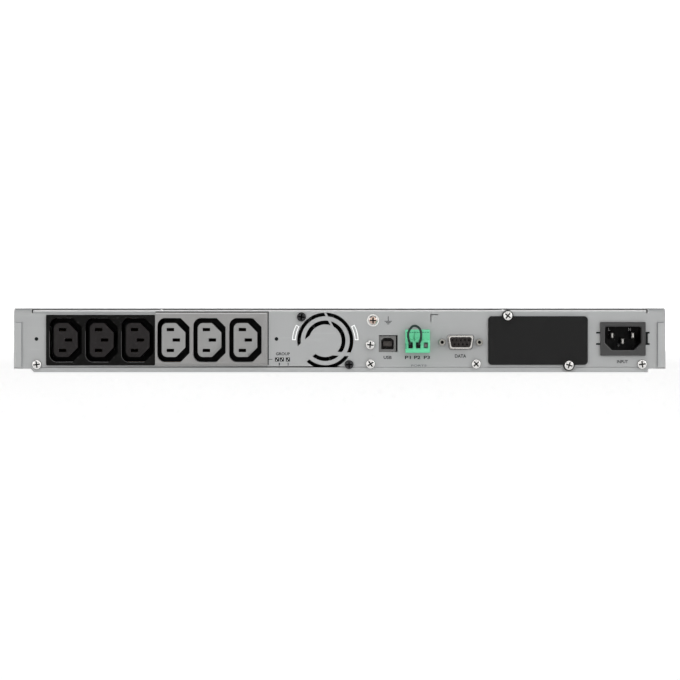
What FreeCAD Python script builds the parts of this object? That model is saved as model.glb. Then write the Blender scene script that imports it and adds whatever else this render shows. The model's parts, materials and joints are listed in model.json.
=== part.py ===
"""A 1U rack-mount uninterruptible power supply, as separate named parts.

Row frame, in millimetres: +X runs to the right for someone facing the connector panel, +Y runs from the
connector panel to the front bezel, +Z is up. The origin is the centre of the footprint on the surface
that the chassis stands on. Each function makes one node; parts/NODE.step holds it.
"""

import FreeCAD, Part
import math
import os

V = FreeCAD.Vector

# ---------------------------------------------------------------- driving dimensions
WIDTH = 438.0  # between the rack rails
HEIGHT = 43.2  # one rack unit less clearance
REAR = -250.0  # outer face of the connector panel
FRONT = 259.0  # outer face of the front bezel
SHEET = 1.2  # chassis steel
COVER_SHEET = 0.8  # top cover steel
FIT = 0.2  # gap between parts that slide or drop into each other
HALF = WIDTH / 2

# chassis section
LEDGE_WIDTH = 11.2  # rail ledge along each lower corner
LEDGE_RISE = 2.35
JOG = 2.2  # run of the sloping wall between floor and ledge
FLANGE_WIDTH = 12.0  # folded top edge of each side wall
FLANGE_TOP = HEIGHT - COVER_SHEET
FLANGE_LOW = FLANGE_TOP - SHEET
BEZEL_BACK = 228.0
WALL_IN = HALF - SHEET
LEDGE_X = HALF - LEDGE_WIDTH

# connector panel
PANEL_IN = REAR + SHEET
PANEL_TOP = 41.8  # leaves a dark gap under the cover
LIP_HEIGHT = 3.35
LIP_END = 204.5
NOTCH_R = 5.2  # relief in the lip round the slot cover's low screw
TAB_WIDTH = 5.7
TAB_SPAN = (3.4, 33.9)
RELIEF_X = 207.0
CORNER_TOP = FLANGE_LOW - 0.1

# screws on the connector panel: (x, z)
PANEL_SCREWS = ((-203.5, 5.2), (20.5, 18.4), (20.7, 5.6), (91.7, 5.6), (203.1, 5.4))
SLOT_SCREWS = ((112.8, 37.9), (153.9, 4.8))
EARTH_SCREW = (22.4, 34.9)
HEAD_R = 3.2
HEAD_RISE = 2.2
CROSS_LONG = 4.2
CROSS_WIDE = 1.0
CROSS_DEEP = 1.6
COVER_SCREW_END = 39.8  # clear of the batteries that slide below

# power outlets
OUTLET_PITCH = 24.15
FIRST_OUTLET_X = -184.0
OUTLET_Z = 21.7
DARK_BLOCK = (-197.2, -124.1)
PALE_BLOCK = (-123.9, -48.4)
OUTLET_DEPTH = 24.0
RING_DEPTH = 18.0
RING_SIZE = (21.6, 29.5)
CORE_SIZE = (15.8, 22.8)
RING_CHAMFER = 6.0
CORE_CHAMFER = 6.3
SLOT_SIZE = (5.0, 2.2)
LINE_PITCH = 7.0  # live and neutral sit this far above and below the middle
CONTACT_X = (-2.1, 1.9, -2.1)
CLIP_HOLES_X = (-203.8, -42.5)
CLIP_HOLE_Z = 22.4
CLIP_HOLE_R = 1.0

# power inlet
INLET_X = 190.3
INLET_Z = 22.8
INLET_FRAME = (175.0, 205.4, 11.2, 33.8)
INLET_CAVITY = (24.5, 15.8)
INLET_PROUD = 2.5
INLET_BACK = REAR + 22.0
INLET_FLOOR = REAR + 15.5

# fan
FAN_X = -9.7
FAN_Z = 21.2
FAN_SIZE = 39.8
FAN_DEPTH = 20.0
FAN_BORE = 19.0
FAN_HOLE_PITCH = 32.0
OUTER_SLOT = (16.5, 18.9)
INNER_SLOT = (11.0, 13.6)
SPOKES = ((222.0, -9.7, 2.1), (118.0, -9.4, -8.0), (-3.0, -9.6, -7.0))  # (direction, low side, high side)

# data ports
USB_X = 32.15
USB_Z = 19.1
USB_CUT = (26.3, 38.9, 13.6, 24.9)
TERMINAL_X = 52.5
TERMINAL_PITCH = 5.08
TERMINAL_SPAN = (44.0, 60.4)
TERMINAL_Z = (13.1, 28.7)
HEADER_X = (44.3, 60.2)
HEADER_TOP = 27.4
WIRE_R = 0.8
SERIAL_X = 81.2
SERIAL_Z = 20.2
SERIAL_SIZE = (16.9, 8.6)
JACK_PITCH = 25.0
JACK_BORE_R = 1.15
JACK_HEX_R = 2.6
COMMS_TOP = 13.2
COMMS_BACK = -196.0

# option slot
SLOT_PLATE = (99.7, 166.6, 5.0, 37.7)
SLOT_CUT = (103.0, 163.3, 8.0, 34.8)
CAGE_BACK = -125.0
SLOT_SCREW_HOLE_R = 1.85
SLOT_SEAT = REAR - 0.3  # back of the cover plate
SLOT_SHEET = 1.6

# battery bay and tray
BAY_X = -90.0  # partition's left face
BAY_Y = -80.2  # partition's rear face
TRAY_FLOOR = 3.9
TRAY_SHEET = 1.0
TRAY_X = (-88.0, 216.8)
TRAY_Y = (-77.6, 227.6)
CELL = (151.0, 94.0, 34.0)
CELL_STEP = (151.4, 100.6)
CELL_ORIGIN = (-86.6, -76.3)

# front
MULLION = (-92.5, -88.5)
DOOR_OPENING = (-88.5, 217.3, 3.5, 41.2)
DISPLAY = (-181.0, -113.0, 12.5, 38.0)
NAV_X = (-171.0, -155.0, -139.0, -123.0)
NAV_Z = 7.0
POWER_X = -199.0
POWER_Z = 26.0
LIGHTS_X = -103.0
LIGHTS_Z = (15.0, 25.0, 35.0)
FACE_SHEET = 2.5
GRIP_LENGTH = 33.0
EAR_HOLES_Y = (186.0, 214.0)
EAR_HOLES_Z = (12.0, 32.0)
EAR_HOLE_R = 1.65


# ---------------------------------------------------------------- shape helpers
def block(x, y, z):
    """A box from its low and high bounds along each axis."""
    return Part.makeBox(x[1] - x[0], y[1] - y[0], z[1] - z[0], V(x[0], y[0], z[0]))


def rod(centre, radius, length, axis=(0, 1, 0)):
    """A cylinder that starts at centre and runs along axis."""
    return Part.makeCylinder(radius, length, V(*centre), V(*axis))


def place(point, axis, height):
    """A 2-D point on the plane that crosses axis at height."""
    u, v = point
    return {"x": V(height, u, v), "y": V(u, height, v), "z": V(u, v, height)}[axis]


def slab(points, span, axis="y", radii=0.0):
    """A closed outline, with its corners rounded, thickened along axis from span[0] to span[1]."""
    if not isinstance(radii, (list, tuple)):
        radii = [radii] * len(points)
    corners = []
    for i, here in enumerate(points):
        before, after = points[i - 1], points[(i + 1) % len(points)]
        if not radii[i]:
            corners.append((here, None, here))
            continue
        a = V(before[0] - here[0], before[1] - here[1], 0).normalize()
        b = V(after[0] - here[0], after[1] - here[1], 0).normalize()
        half = a.getAngle(b) / 2
        reach = radii[i] / math.tan(half)
        middle = (a + b).normalize() * (radii[i] / math.sin(half) - radii[i])
        corners.append(
            (
                (here[0] + a.x * reach, here[1] + a.y * reach),
                (here[0] + middle.x, here[1] + middle.y),
                (here[0] + b.x * reach, here[1] + b.y * reach),
            )
        )
    edges = []
    for i, (start, middle, end) in enumerate(corners):
        if middle:
            arc = [place(p, axis, span[0]) for p in (start, middle, end)]
            edges.append(Part.Arc(*arc).toShape())
        following = corners[(i + 1) % len(corners)][0]
        p, q = place(end, axis, span[0]), place(following, axis, span[0])
        if p.distanceToPoint(q) > 1e-6:
            edges.append(Part.LineSegment(p, q).toShape())
    face = Part.Face(Part.Wire(edges))
    return face.extrude(place((0, 0), axis, span[1] - span[0]))


def rectangle(x, z):
    return [(x[0], z[0]), (x[1], z[0]), (x[1], z[1]), (x[0], z[1])]


def d_outline(centre, size, chamfer):
    """The outlet outline: square corners on the left, two chamfers on the right."""
    left, right = centre[0] - size[0] / 2, centre[0] + size[0] / 2
    low, high = centre[1] - size[1] / 2, centre[1] + size[1] / 2
    return [
        (left, low),
        (right - chamfer, low),
        (right, low + chamfer),
        (right, high - chamfer),
        (right - chamfer, high),
        (left, high),
    ]


def arc_slot(radii, start, end, y):
    """A ring sector about the fan's axis, from angle start to angle end in degrees."""

    def on(radius, degrees):
        a = math.radians(degrees)
        return V(FAN_X + radius * math.cos(a), y[0], FAN_Z + radius * math.sin(a))

    middle = (start + end) / 2
    inner, outer = radii
    edges = [
        Part.Arc(on(outer, start), on(outer, middle), on(outer, end)).toShape(),
        Part.LineSegment(on(outer, end), on(inner, end)).toShape(),
        Part.Arc(on(inner, end), on(inner, middle), on(inner, start)).toShape(),
        Part.LineSegment(on(inner, start), on(outer, start)).toShape(),
    ]
    return Part.Face(Part.Wire(edges)).extrude(V(0, y[1] - y[0], 0))


def fuse(shapes):
    shapes = list(shapes)
    return shapes[0].multiFuse(shapes[1:]).removeSplitter() if len(shapes) > 1 else shapes[0]


def cut(body, tools):
    return body.cut(Part.makeCompound(list(tools))).removeSplitter()


def edges_along(shape, direction, test):
    """The straight edges along a direction whose middle passes the test."""
    found = []
    for edge in shape.Edges:
        if not isinstance(edge.Curve, Part.Line):
            continue
        along = (edge.Vertexes[-1].Point - edge.Vertexes[0].Point).normalize()
        if abs(abs(along.dot(V(*direction))) - 1) < 1e-6 and test(edge.CenterOfMass):
            found.append(edge)
    return found


def near(value, target):
    return abs(value - target) < 0.01


def group(shapes):
    """Separate solids that share one node."""
    return Part.makeCompound(list(shapes))


def grid(count, pitch, middle=0.0):
    """Evenly spaced places about a middle."""
    return [middle + (i - (count - 1) / 2) * pitch for i in range(count)]


# ---------------------------------------------------------------- fasteners
def pan_screw(x, z, seat, length, radius=1.5, head_r=HEAD_R, rise=HEAD_RISE):
    """A domed cross-recess screw driven along +Y, its head standing proud of the face at y = seat."""
    ball_r = (head_r**2 + rise**2) / (2 * rise) + 0.4
    ball = Part.makeSphere(ball_r, V(x, seat - rise + ball_r, z))
    head = rod((x, seat - rise, z), head_r, rise).common(ball)
    reach = (seat - rise, seat - rise + CROSS_DEEP)
    half_long, half_wide = CROSS_LONG / 2, CROSS_WIDE / 2
    cross = fuse(
        [
            block((x - half_long, x + half_long), reach, (z - half_wide, z + half_wide)),
            block((x - half_wide, x + half_wide), reach, (z - half_long, z + half_long)),
        ]
    )
    return cut(head.fuse(rod((x, seat, z), radius, length)), [cross])


def panel_screws():
    return group(pan_screw(x, z, REAR, 6.0) for x, z in PANEL_SCREWS)


def earth_screw():
    """The screw and its washer."""
    x, z = EARTH_SCREW
    ring = rod((x, REAR - 0.9, z), 4.1, 0.9)
    washer = cut(ring, [rod((x, REAR - 1, z), 2.15, 1.2)])
    return group([pan_screw(x, z, REAR - 0.9, 8.0, radius=2.0), washer])


def cover_screw_places():
    sides = [(s * (HALF - 6.0), y) for s in (-1, 1) for y in (-232.0, -110.0, 12.0, 134.0, 214.0)]
    back = [(x, REAR + 7.0) for x in (-120.0, 110.0)]
    return sides + back


def cover_screws():
    """Countersunk screws, flush with the cover."""
    found = []
    for x, y in cover_screw_places():
        head = Part.makeCone(1.4, 2.6, COVER_SHEET - 0.03, V(x, y, FLANGE_TOP), V(0, 0, 1))
        shank = rod((x, y, COVER_SCREW_END), 1.25, FLANGE_TOP - COVER_SCREW_END, (0, 0, 1))
        bars = [
            block((x - 1.6, x + 1.6), (y - 0.4, y + 0.4), (HEIGHT - 0.6, HEIGHT)),
            block((x - 0.4, x + 0.4), (y - 1.6, y + 1.6), (HEIGHT - 0.6, HEIGHT)),
        ]
        found.append(cut(head.fuse(shank), bars))
    return group(found)


# ---------------------------------------------------------------- chassis
def lip_notches():
    """Half-round reliefs in the tray's rear lip, round each low screw."""
    low = [(x, z, 1.9) for x, z in PANEL_SCREWS + fan_screw_places() if z < 8]
    low += [(x, z, NOTCH_R) for x, z in SLOT_SCREWS if z < 8]
    return [rod((x, REAR - 1, z), r, SHEET + 1) for x, z, r in low]


def side_vents(side, first_y, count):
    """A row of upright cooling slots through one side wall."""
    x = sorted((side * (HALF - 3), side * (HALF + 1)))
    places = [first_y + 7.0 * i for i in range(count)]
    return [slab(rectangle((y, y + 3.0), (11.0, 33.0)), x, "x", 1.49) for y in places]


def chassis_tray():
    """Floor, stepped rail ledges, side walls with folded tops, rear lip and tabs, in one folded sheet."""
    half_section = [
        (0, 0),
        (LEDGE_X - JOG, 0),
        (LEDGE_X, LEDGE_RISE),
        (HALF, LEDGE_RISE),
        (HALF, FLANGE_TOP),
        (HALF - FLANGE_WIDTH, FLANGE_TOP),
        (HALF - FLANGE_WIDTH, FLANGE_LOW),
        (WALL_IN, FLANGE_LOW),
        (WALL_IN, LEDGE_RISE + SHEET),
        (LEDGE_X - 0.5, LEDGE_RISE + SHEET),
        (LEDGE_X - JOG - 0.5, SHEET),
        (0, SHEET),
    ]
    radii = [0, 1.0, 0.6, 1.4, 1.4, 0, 0, 0.4, 0.4, 1.0, 0.6, 0]
    section = slab(half_section, (PANEL_IN, BEZEL_BACK), "y", radii)
    shell = section.fuse(section.mirror(V(0, 0, 0), V(1, 0, 0)))
    parts = [shell]
    lip = [
        (REAR, 0),
        (PANEL_IN + 1, 0),
        (PANEL_IN + 1, SHEET),
        (PANEL_IN, SHEET),
        (PANEL_IN, LIP_HEIGHT),
        (REAR, LIP_HEIGHT),
    ]
    parts.append(slab(lip, (-LIP_END, LIP_END), "x", [1.0, 0, 0, 0, 0, 0.4]))
    for side in (-1, 1):
        tab = [
            (HALF, REAR - SHEET),
            (HALF, PANEL_IN + 1),
            (WALL_IN, PANEL_IN + 1),
            (WALL_IN, REAR),
            (HALF - TAB_WIDTH, REAR),
            (HALF - TAB_WIDTH, REAR - SHEET),
        ]
        folded = slab(tab, TAB_SPAN, "z", [1.2, 0, 0, 0, 0, 0.4])
        top = slab(
            rectangle((RELIEF_X, HALF), (REAR, PANEL_IN + 1)), (FLANGE_LOW, FLANGE_TOP), "z", [0, 1.2, 0, 0]
        )
        for extra in (folded, top):
            parts.append(extra if side > 0 else extra.mirror(V(0, 0, 0), V(1, 0, 0)))
    # front bulkhead beside the battery bay, with an airflow window
    bulkhead = block((-WALL_IN, BAY_X - 1), (BEZEL_BACK - SHEET, BEZEL_BACK), (SHEET, 36.0))
    window = slab(rectangle((-205.0, -104.0), (10.0, 31.0)), (BEZEL_BACK - 4, BEZEL_BACK), "y", 3.0)
    parts.append(cut(bulkhead, [window]))
    tray = fuse(parts)
    holes = lip_notches()
    holes += side_vents(-1, 30.0, 16) + side_vents(-1, -200.0, 10) + side_vents(1, -200.0, 14)
    for side in (-1, 1):
        for y in EAR_HOLES_Y:
            for z in EAR_HOLES_Z:
                holes.append(rod((side * (HALF + 1), y, z), EAR_HOLE_R, 4.0, (-side, 0, 0)))
        for y in (-228.0, -20.0):
            holes.append(rod((side * (HALF + 1), y, 22.0), EAR_HOLE_R, 4.0, (-side, 0, 0)))
    for x, y in cover_screw_places():
        if abs(x) > 200:
            holes.append(rod((x, y, FLANGE_LOW - 1), 1.35, 3.0, (0, 0, 1)))
    for x, y in grid_places((-150.0, -20.0, 20, 6.0), (-60.0, 20.0, 4, 14.0)):
        slot = slab(rectangle((x, x + 3.0), (y, y + 10.0)), (-1, SHEET + 1), "z", 1.49)
        holes.append(slot)
    return cut(tray, holes)


def grid_places(across, along):
    """Places from (first, last, count, pitch) runs, as x by y."""
    columns = [across[0] + across[3] * i for i in range(across[2])]
    return [(x, along[0] + along[3] * j) for x in columns for j in range(along[2])]


def top_cover():
    """Flat lid whose rear edge stops just behind the panel's folded top."""
    back = REAR + 2.4
    lid = slab(rectangle((-HALF, HALF), (back, BEZEL_BACK)), (FLANGE_TOP, HEIGHT), "z", [1.0, 1.0, 0, 0])
    rim = edges_along(lid, (1, 0, 0), lambda c: near(c.z, HEIGHT) and near(c.y, back))
    rim += edges_along(lid, (0, 1, 0), lambda c: near(c.z, HEIGHT))
    lid = lid.makeFillet(0.35, rim)
    sinks = []
    for x, y in cover_screw_places():
        sinks.append(Part.makeCone(1.5, 2.7, COVER_SHEET, V(x, y, FLANGE_TOP), V(0, 0, 1)))
    return cut(lid, sinks)


def rear_panel():
    """The connector panel: every port's cut-out, the fan grille and the folded top edge."""
    foot = [(LIP_END + 0.1, 0), (LEDGE_X - JOG, 0), (LEDGE_X, LEDGE_RISE)]
    square_foot = [(LIP_END + 0.1, 0), (LEDGE_X - 0.6, 0), (LEDGE_X - 0.6, LEDGE_RISE)]
    side = [
        (HALF, LEDGE_RISE),
        (HALF, TAB_SPAN[0] - 0.1),
        (WALL_IN - 0.1, TAB_SPAN[0] - 0.1),
        (WALL_IN - 0.1, TAB_SPAN[1] + 0.15),
        (HALF, TAB_SPAN[1] + 0.15),
        (HALF, CORNER_TOP),
        (RELIEF_X - 0.1, CORNER_TOP),
        (RELIEF_X - 0.1, CORNER_TOP - 1.3),
        (RELIEF_X - 0.9, CORNER_TOP - 1.3),
        (RELIEF_X - 0.9, PANEL_TOP - 0.6),
    ]
    other = [(-x, z) for x, z in reversed(foot + side)]
    low = LIP_HEIGHT + 0.12
    outline = square_foot + side + other + [(-LIP_END - 0.1, low), (LIP_END + 0.1, low)]
    plate = slab(outline, (REAR, PANEL_IN), "y")
    fold = [
        (REAR, PANEL_TOP - 3),
        (PANEL_IN, PANEL_TOP - 3),
        (PANEL_IN, PANEL_TOP - SHEET),
        (REAR + 12, PANEL_TOP - SHEET),
        (REAR + 12, PANEL_TOP),
        (REAR, PANEL_TOP),
    ]
    top = slab(fold, (-RELIEF_X + 0.9, RELIEF_X - 0.9), "x", [0, 0, 0.4, 0, 0, 1.5])
    bend = block((-RELIEF_X + 0.9, RELIEF_X - 0.9), (REAR - 1, PANEL_IN + 1), (PANEL_TOP - 3, HEIGHT))
    plate = cut(plate, [bend])
    flanges = [
        block((s * WALL_IN - s * 1.3 - 0.6, s * WALL_IN - s * 1.3 + 0.6), (PANEL_IN, REAR + 11), (6.0, 33.0))
        for s in (-1, 1)
    ]
    emboss_y = (REAR - 0.5, REAR + 0.2)
    embosses = [arc_slot((19.7, 22.4), *angles, emboss_y) for angles in ((1.0, 29.0), (151.0, 179.0))]
    x, z = SLOT_SCREWS[1]
    tongue = rod((x, REAR, z), NOTCH_R - 0.15, SHEET)
    tongue = tongue.common(block((x - 9, x + 9), (REAR, PANEL_IN), (0.1, z)))
    panel = fuse([plate, top, *flanges, *embosses, tongue])
    through = (REAR - 3, PANEL_IN + 3)
    holes = [block((DARK_BLOCK[0] + 2.2, PALE_BLOCK[1] - 2.4), through, (7.0, 36.4))]
    holes += fan_grille(through)
    fan_room = FAN_SIZE / 2 + 0.6
    holes.append(block((FAN_X - fan_room, FAN_X + fan_room), (PANEL_IN, REAR + 13), (38, 43)))
    holes.append(block(USB_CUT[:2], through, USB_CUT[2:]))
    holes.append(block(HEADER_X, through, (COMMS_TOP, HEADER_TOP)))
    holes.append(serial_outline(0.7, through))
    holes += [rod((SERIAL_X + s * JACK_PITCH / 2, REAR - 3, SERIAL_Z), 1.6, 9.0) for s in (-1, 1)]
    holes.append(slab(rectangle(SLOT_CUT[:2], SLOT_CUT[2:]), through, "y", 1.5))
    left, right, low, high = INLET_FRAME
    holes.append(block((left + 2.0, right - 2.0), through, (low + 2.0, high - 2.0)))
    for z in (18.4, 26.0):
        holes.append(block((INLET_FRAME[0] - 2.7, INLET_FRAME[0] + 3), through, (z, z + 1.2)))
        holes.append(block((INLET_FRAME[1] - 3, INLET_FRAME[1] + 2.9), through, (z, z + 1.2)))
    holes.append(block((INLET_FRAME[1] - 3, INLET_FRAME[1] + 1.7), through, (18.4, 27.2)))
    holes += [rod((x, REAR - 3, CLIP_HOLE_Z), CLIP_HOLE_R, 9.0) for x in CLIP_HOLES_X]
    holes += [rod((x, REAR - 3, z), 1.7, 9.0) for x, z in PANEL_SCREWS]
    holes += [rod((x, REAR - 3, z), SLOT_SCREW_HOLE_R, 9.0) for x, z in SLOT_SCREWS]
    holes += [rod((x, REAR - 3, z), 2.15, 9.0) for x, z in (EARTH_SCREW,) + fan_screw_places()]
    lid_screws = [place for place in cover_screw_places() if abs(place[0]) < 200]
    holes += [rod((x, y, PANEL_TOP - 3), 1.4, 4.0, (0, 0, 1)) for x, y in lid_screws]
    holes += [block((61.0, 66.2), through, (38.5, 39.0)), block((61.0, 61.5), through, (33.6, 39.0))]
    return cut(panel, holes)


def fan_grille(y):
    """Two broken rings of slots between three swept spokes, cut off flat above the floor."""
    bars = [block((-25, 25), y, (-25, 3.5 - FAN_Z))]
    for direction, low, high in SPOKES:
        bar = block((0, 25), y, (low, high))
        bar.rotate(V(0, 0, 0), V(0, 1, 0), -direction)
        bars.append(bar)
    for bar in bars:
        bar.translate(V(FAN_X, 0, FAN_Z))
    slots = []
    for inner, outer in (OUTER_SLOT, INNER_SLOT):
        ring = rod((FAN_X, y[0], FAN_Z), outer, y[1] - y[0])
        slots.append(cut(ring, [rod((FAN_X, y[0], FAN_Z), inner, y[1] - y[0]), *bars]))
    return slots


def fan_screw_places():
    """Two opposite corners of the fan are screwed to the panel."""
    reach = FAN_HOLE_PITCH / 2
    return ((FAN_X - reach, FAN_Z + reach), (FAN_X + reach, FAN_Z - reach))


def bay_side_wall():
    """Steel wall between the battery bay and the electronics, flanged at the foot."""
    wall = block((BAY_X, BAY_X + SHEET), (BAY_Y, BEZEL_BACK), (SHEET, FLANGE_TOP - 0.1))
    foot = block((BAY_X - 8, BAY_X + SHEET), (BAY_Y, 224.0), (SHEET, 2 * SHEET))
    return fuse([wall, foot])


def bay_back_wall():
    """Steel wall behind the battery bay, with air windows and the docking window."""
    rise = (LEDGE_RISE + SHEET, FLANGE_LOW - 0.3)
    wall = block((BAY_X + SHEET, WALL_IN - FIT), (BAY_Y, BAY_Y + SHEET), rise)
    holes = [block((20.0, 60.0), (BAY_Y - 1, BAY_Y + 3), (9.0, 27.0))]
    for x in grid(5, 26.0, 140.0):
        holes.append(slab(rectangle((x, x + 16), (14.0, 28.0)), (BAY_Y - 1, BAY_Y + 3), "y", 2.0))
    return cut(wall, holes)


def tray_runners():
    """Two low-friction strips that the battery tray slides on."""
    return group(
        block((x, x + 12.0), (BAY_Y + 6, 220.0), (SHEET, TRAY_FLOOR - 0.35)) for x in (-70.0, 180.0)
    )


# ---------------------------------------------------------------- power outlets and inlet
def outlet_places(first, count=3):
    return [FIRST_OUTLET_X + OUTLET_PITCH * (first + i) for i in range(count)]


def outlet_holes(x, front):
    """What one outlet takes out of its block: the ring round the core and three contact slots."""
    back = front + RING_DEPTH
    outer = d_outline((x, OUTLET_Z), RING_SIZE, RING_CHAMFER)
    ring = slab(outer, (front - 1, back), "y", [5.2, 1.6, 1.2, 1.2, 1.6, 5.2])
    inner = d_outline((x, OUTLET_Z), CORE_SIZE, CORE_CHAMFER)
    core = slab(inner, (front - 2, back + 1), "y", [3.6, 1.2, 0.8, 0.8, 1.2, 3.6])
    holes = [ring.cut(core)]
    for dx, dz in zip(CONTACT_X, (LINE_PITCH, 0.0, -LINE_PITCH)):
        wide, high = SLOT_SIZE
        holes.append(
            block(
                (x + dx - wide / 2, x + dx + wide / 2),
                (front - 1, REAR + 40),
                (OUTLET_Z + dz - high / 2, OUTLET_Z + dz + high / 2),
            )
        )
    return holes


def outlet_block_dark():
    """Three unswitched outlets moulded in one black housing."""
    front = REAR - 1.4
    face = slab(rectangle(DARK_BLOCK, (4.6, 38.6)), (front, REAR), "y", 0.6)
    body = block((DARK_BLOCK[0] + 2.4, DARK_BLOCK[1] - 0.1), (REAR, REAR + OUTLET_DEPTH), (7.2, 36.2))
    housing = face.fuse(body)
    holes = [h for x in outlet_places(0) for h in outlet_holes(x, front)]
    return cut(housing, holes)


def outlet_block_pale():
    """Three switched outlets in a grey housing with a bevelled rim."""
    front = REAR - 2.6
    face = slab(rectangle(PALE_BLOCK, (4.7, 40.2)), (front, REAR), "y")
    rim = edges_along(face, (1, 0, 0), lambda c: near(c.y, front))
    rim += edges_along(face, (0, 0, 1), lambda c: near(c.y, front) and near(c.x, PALE_BLOCK[1]))
    face = face.makeChamfer(1.3, rim)
    body = block((PALE_BLOCK[0] + 0.1, PALE_BLOCK[1] - 2.6), (REAR, REAR + OUTLET_DEPTH), (7.2, 36.2))
    housing = face.fuse(body)
    holes = [h for x in outlet_places(3) for h in outlet_holes(x, front)]
    return cut(housing, holes)


def outlet_contacts():
    """Sprung brass receivers, one behind each contact slot, with a solder tag."""
    found = []
    for x in outlet_places(0, 6):
        for dx, dz in zip(CONTACT_X, (LINE_PITCH, 0.0, -LINE_PITCH)):
            cx, cz = x + dx, OUTLET_Z + dz
            jaw = block((cx - 2.3, cx + 2.3), (REAR + 6, REAR + 18), (cz - 1.0, cz + 1.0))
            mouth = block((cx - 3, cx + 3), (REAR + 5, REAR + 16), (cz - 0.6, cz + 0.6))
            tag = block((cx - 1.6, cx + 1.6), (REAR + 18, REAR + 30), (cz - 0.4, cz + 0.4))
            found.append(jaw.cut(mouth).fuse(tag))
    return group(found)


def inlet_outline(grow, y):
    """The inlet cavity: square at the top, two chamfers at the bottom."""
    wide, high = INLET_CAVITY[0] / 2 + grow, INLET_CAVITY[1] / 2 + grow
    chamfer = 4.9
    points = [
        (-wide + chamfer, -high),
        (wide - chamfer, -high),
        (wide, -high + chamfer),
        (wide, high),
        (-wide, high),
        (-wide, -high + chamfer),
    ]
    moved = [(INLET_X + x, INLET_Z + z) for x, z in points]
    return slab(moved, y, "y", [0.8, 0.8, 0.8, 1.6, 1.6, 0.8])


def inlet_pin_places():
    return ((INLET_X - 7.0, INLET_Z + 2.0), (INLET_X + 7.0, INLET_Z + 2.0), (INLET_X, INLET_Z - 2.0))


def inlet_housing():
    front = REAR - INLET_PROUD
    face = slab(rectangle(INLET_FRAME[:2], INLET_FRAME[2:]), (front, REAR), "y", 0.5)
    rim = [e for e in face.Edges if near(e.CenterOfMass.y, front)]
    face = face.makeChamfer(0.35, rim)
    body = block((177.2, 203.2), (REAR, INLET_BACK), (13.4, 31.6))
    housing = face.fuse(body)
    holes = [inlet_outline(0.0, (front - 1, INLET_FLOOR))]
    for x, z in inlet_pin_places():
        holes.append(block((x - 1.02, x + 1.02), (INLET_FLOOR - 1, INLET_BACK + 1), (z - 2.02, z + 2.02)))
    mouth = inlet_outline(0.45, (front - 0.5, front + 0.45))
    return cut(housing, holes + [mouth])


def inlet_pins():
    """Two line pins and a slightly longer earth pin, tips bevelled."""
    found = []
    for i, (x, z) in enumerate(inlet_pin_places()):
        tip = REAR + (0.2 if i == 2 else 1.2)
        pin = block((x - 1.0, x + 1.0), (tip, INLET_BACK + 7), (z - 2.0, z + 2.0))
        ends = [e for e in pin.Edges if near(e.CenterOfMass.y, tip)]
        found.append(pin.makeChamfer(0.6, ends))
    return group(found)


# ---------------------------------------------------------------- fan
def fan_frame():
    """Square duct with four screw holes and three struts that carry the motor."""
    half = FAN_SIZE / 2
    y0, y1 = PANEL_IN, PANEL_IN + FAN_DEPTH
    square = slab(rectangle((FAN_X - half, FAN_X + half), (FAN_Z - half, FAN_Z + half)), (y0, y1), "y", 3.0)
    waist_tools = []
    for sx in (-1, 1):
        x = sorted((FAN_X + sx * (half - 5.2), FAN_X + sx * (half + 1)))
        for sz in (-1, 1):
            z = sorted((FAN_Z + sz * (half - 5.2), FAN_Z + sz * (half + 1)))
            waist_tools.append(block(x, (y0 + 4, y1 - 4), z))
    bore = rod((FAN_X, y0 - 1, FAN_Z), FAN_BORE, FAN_DEPTH + 2)
    duct = cut(square, waist_tools + [bore])
    motor_seat = rod((FAN_X, y1 - 2.5, FAN_Z), 8.5, 2.5)
    struts = []
    for degrees in (30, 150, 270):
        strut = block((FAN_X, FAN_X + FAN_BORE + 0.3), (y1 - 2.5, y1 - 0.5), (FAN_Z - 1.2, FAN_Z + 1.2))
        strut.rotate(V(FAN_X, 0, FAN_Z), V(0, 1, 0), degrees)
        struts.append(strut)
    frame = fuse([duct, motor_seat, *struts])
    reach = FAN_HOLE_PITCH / 2
    places = [(FAN_X + sx * reach, FAN_Z + sz * reach) for sx in (-1, 1) for sz in (-1, 1)]
    holes = [rod((x, y0 - 1, z), 2.1, FAN_DEPTH + 2) for x, z in places]
    holes.append(rod((FAN_X, y1 - 3, FAN_Z), 2.55, 4.0))
    return cut(frame, holes)


def fan_stator():
    """Bearing tube and wound core, pressed into the frame's seat."""
    y1 = PANEL_IN + FAN_DEPTH
    tube = rod((FAN_X, y1 - 14, FAN_Z), 2.5, 14.0)
    poles = []
    for degrees in range(0, 360, 90):
        arm = block((FAN_X, FAN_X + 6.2), (y1 - 11, y1 - 4.5), (FAN_Z - 1.6, FAN_Z + 1.6))
        arm.rotate(V(FAN_X, 0, FAN_Z), V(0, 1, 0), degrees + 15)
        poles.append(arm)
    core = fuse([tube, *poles])
    return cut(core, [rod((FAN_X, y1 - 15, FAN_Z), 1.05, 17.0)])


def fan_blade(degrees):
    """One twisted blade, lofted from the hub out to the tip."""
    y0 = PANEL_IN + 1.6
    sections = []
    for radius, lean, chord in ((8.8, 38.0, 12.5), (18.1, 60.0, 13.5)):
        a = math.radians(lean)
        along = V(0, math.cos(a), math.sin(a))
        across = V(0, -math.sin(a), math.cos(a))
        middle = V(radius, y0 + 6.6, 0)
        corners = [
            middle + along * (chord / 2 * s) + across * (0.45 * t)
            for s, t in ((-1, -1), (1, -1), (1, 1), (-1, 1))
        ]
        sections.append(Part.makePolygon(corners + corners[:1]))
    blade = Part.makeLoft(sections, True)
    blade.rotate(V(0, 0, 0), V(0, 1, 0), degrees)
    blade.translate(V(FAN_X, 0, FAN_Z))
    return blade


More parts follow.
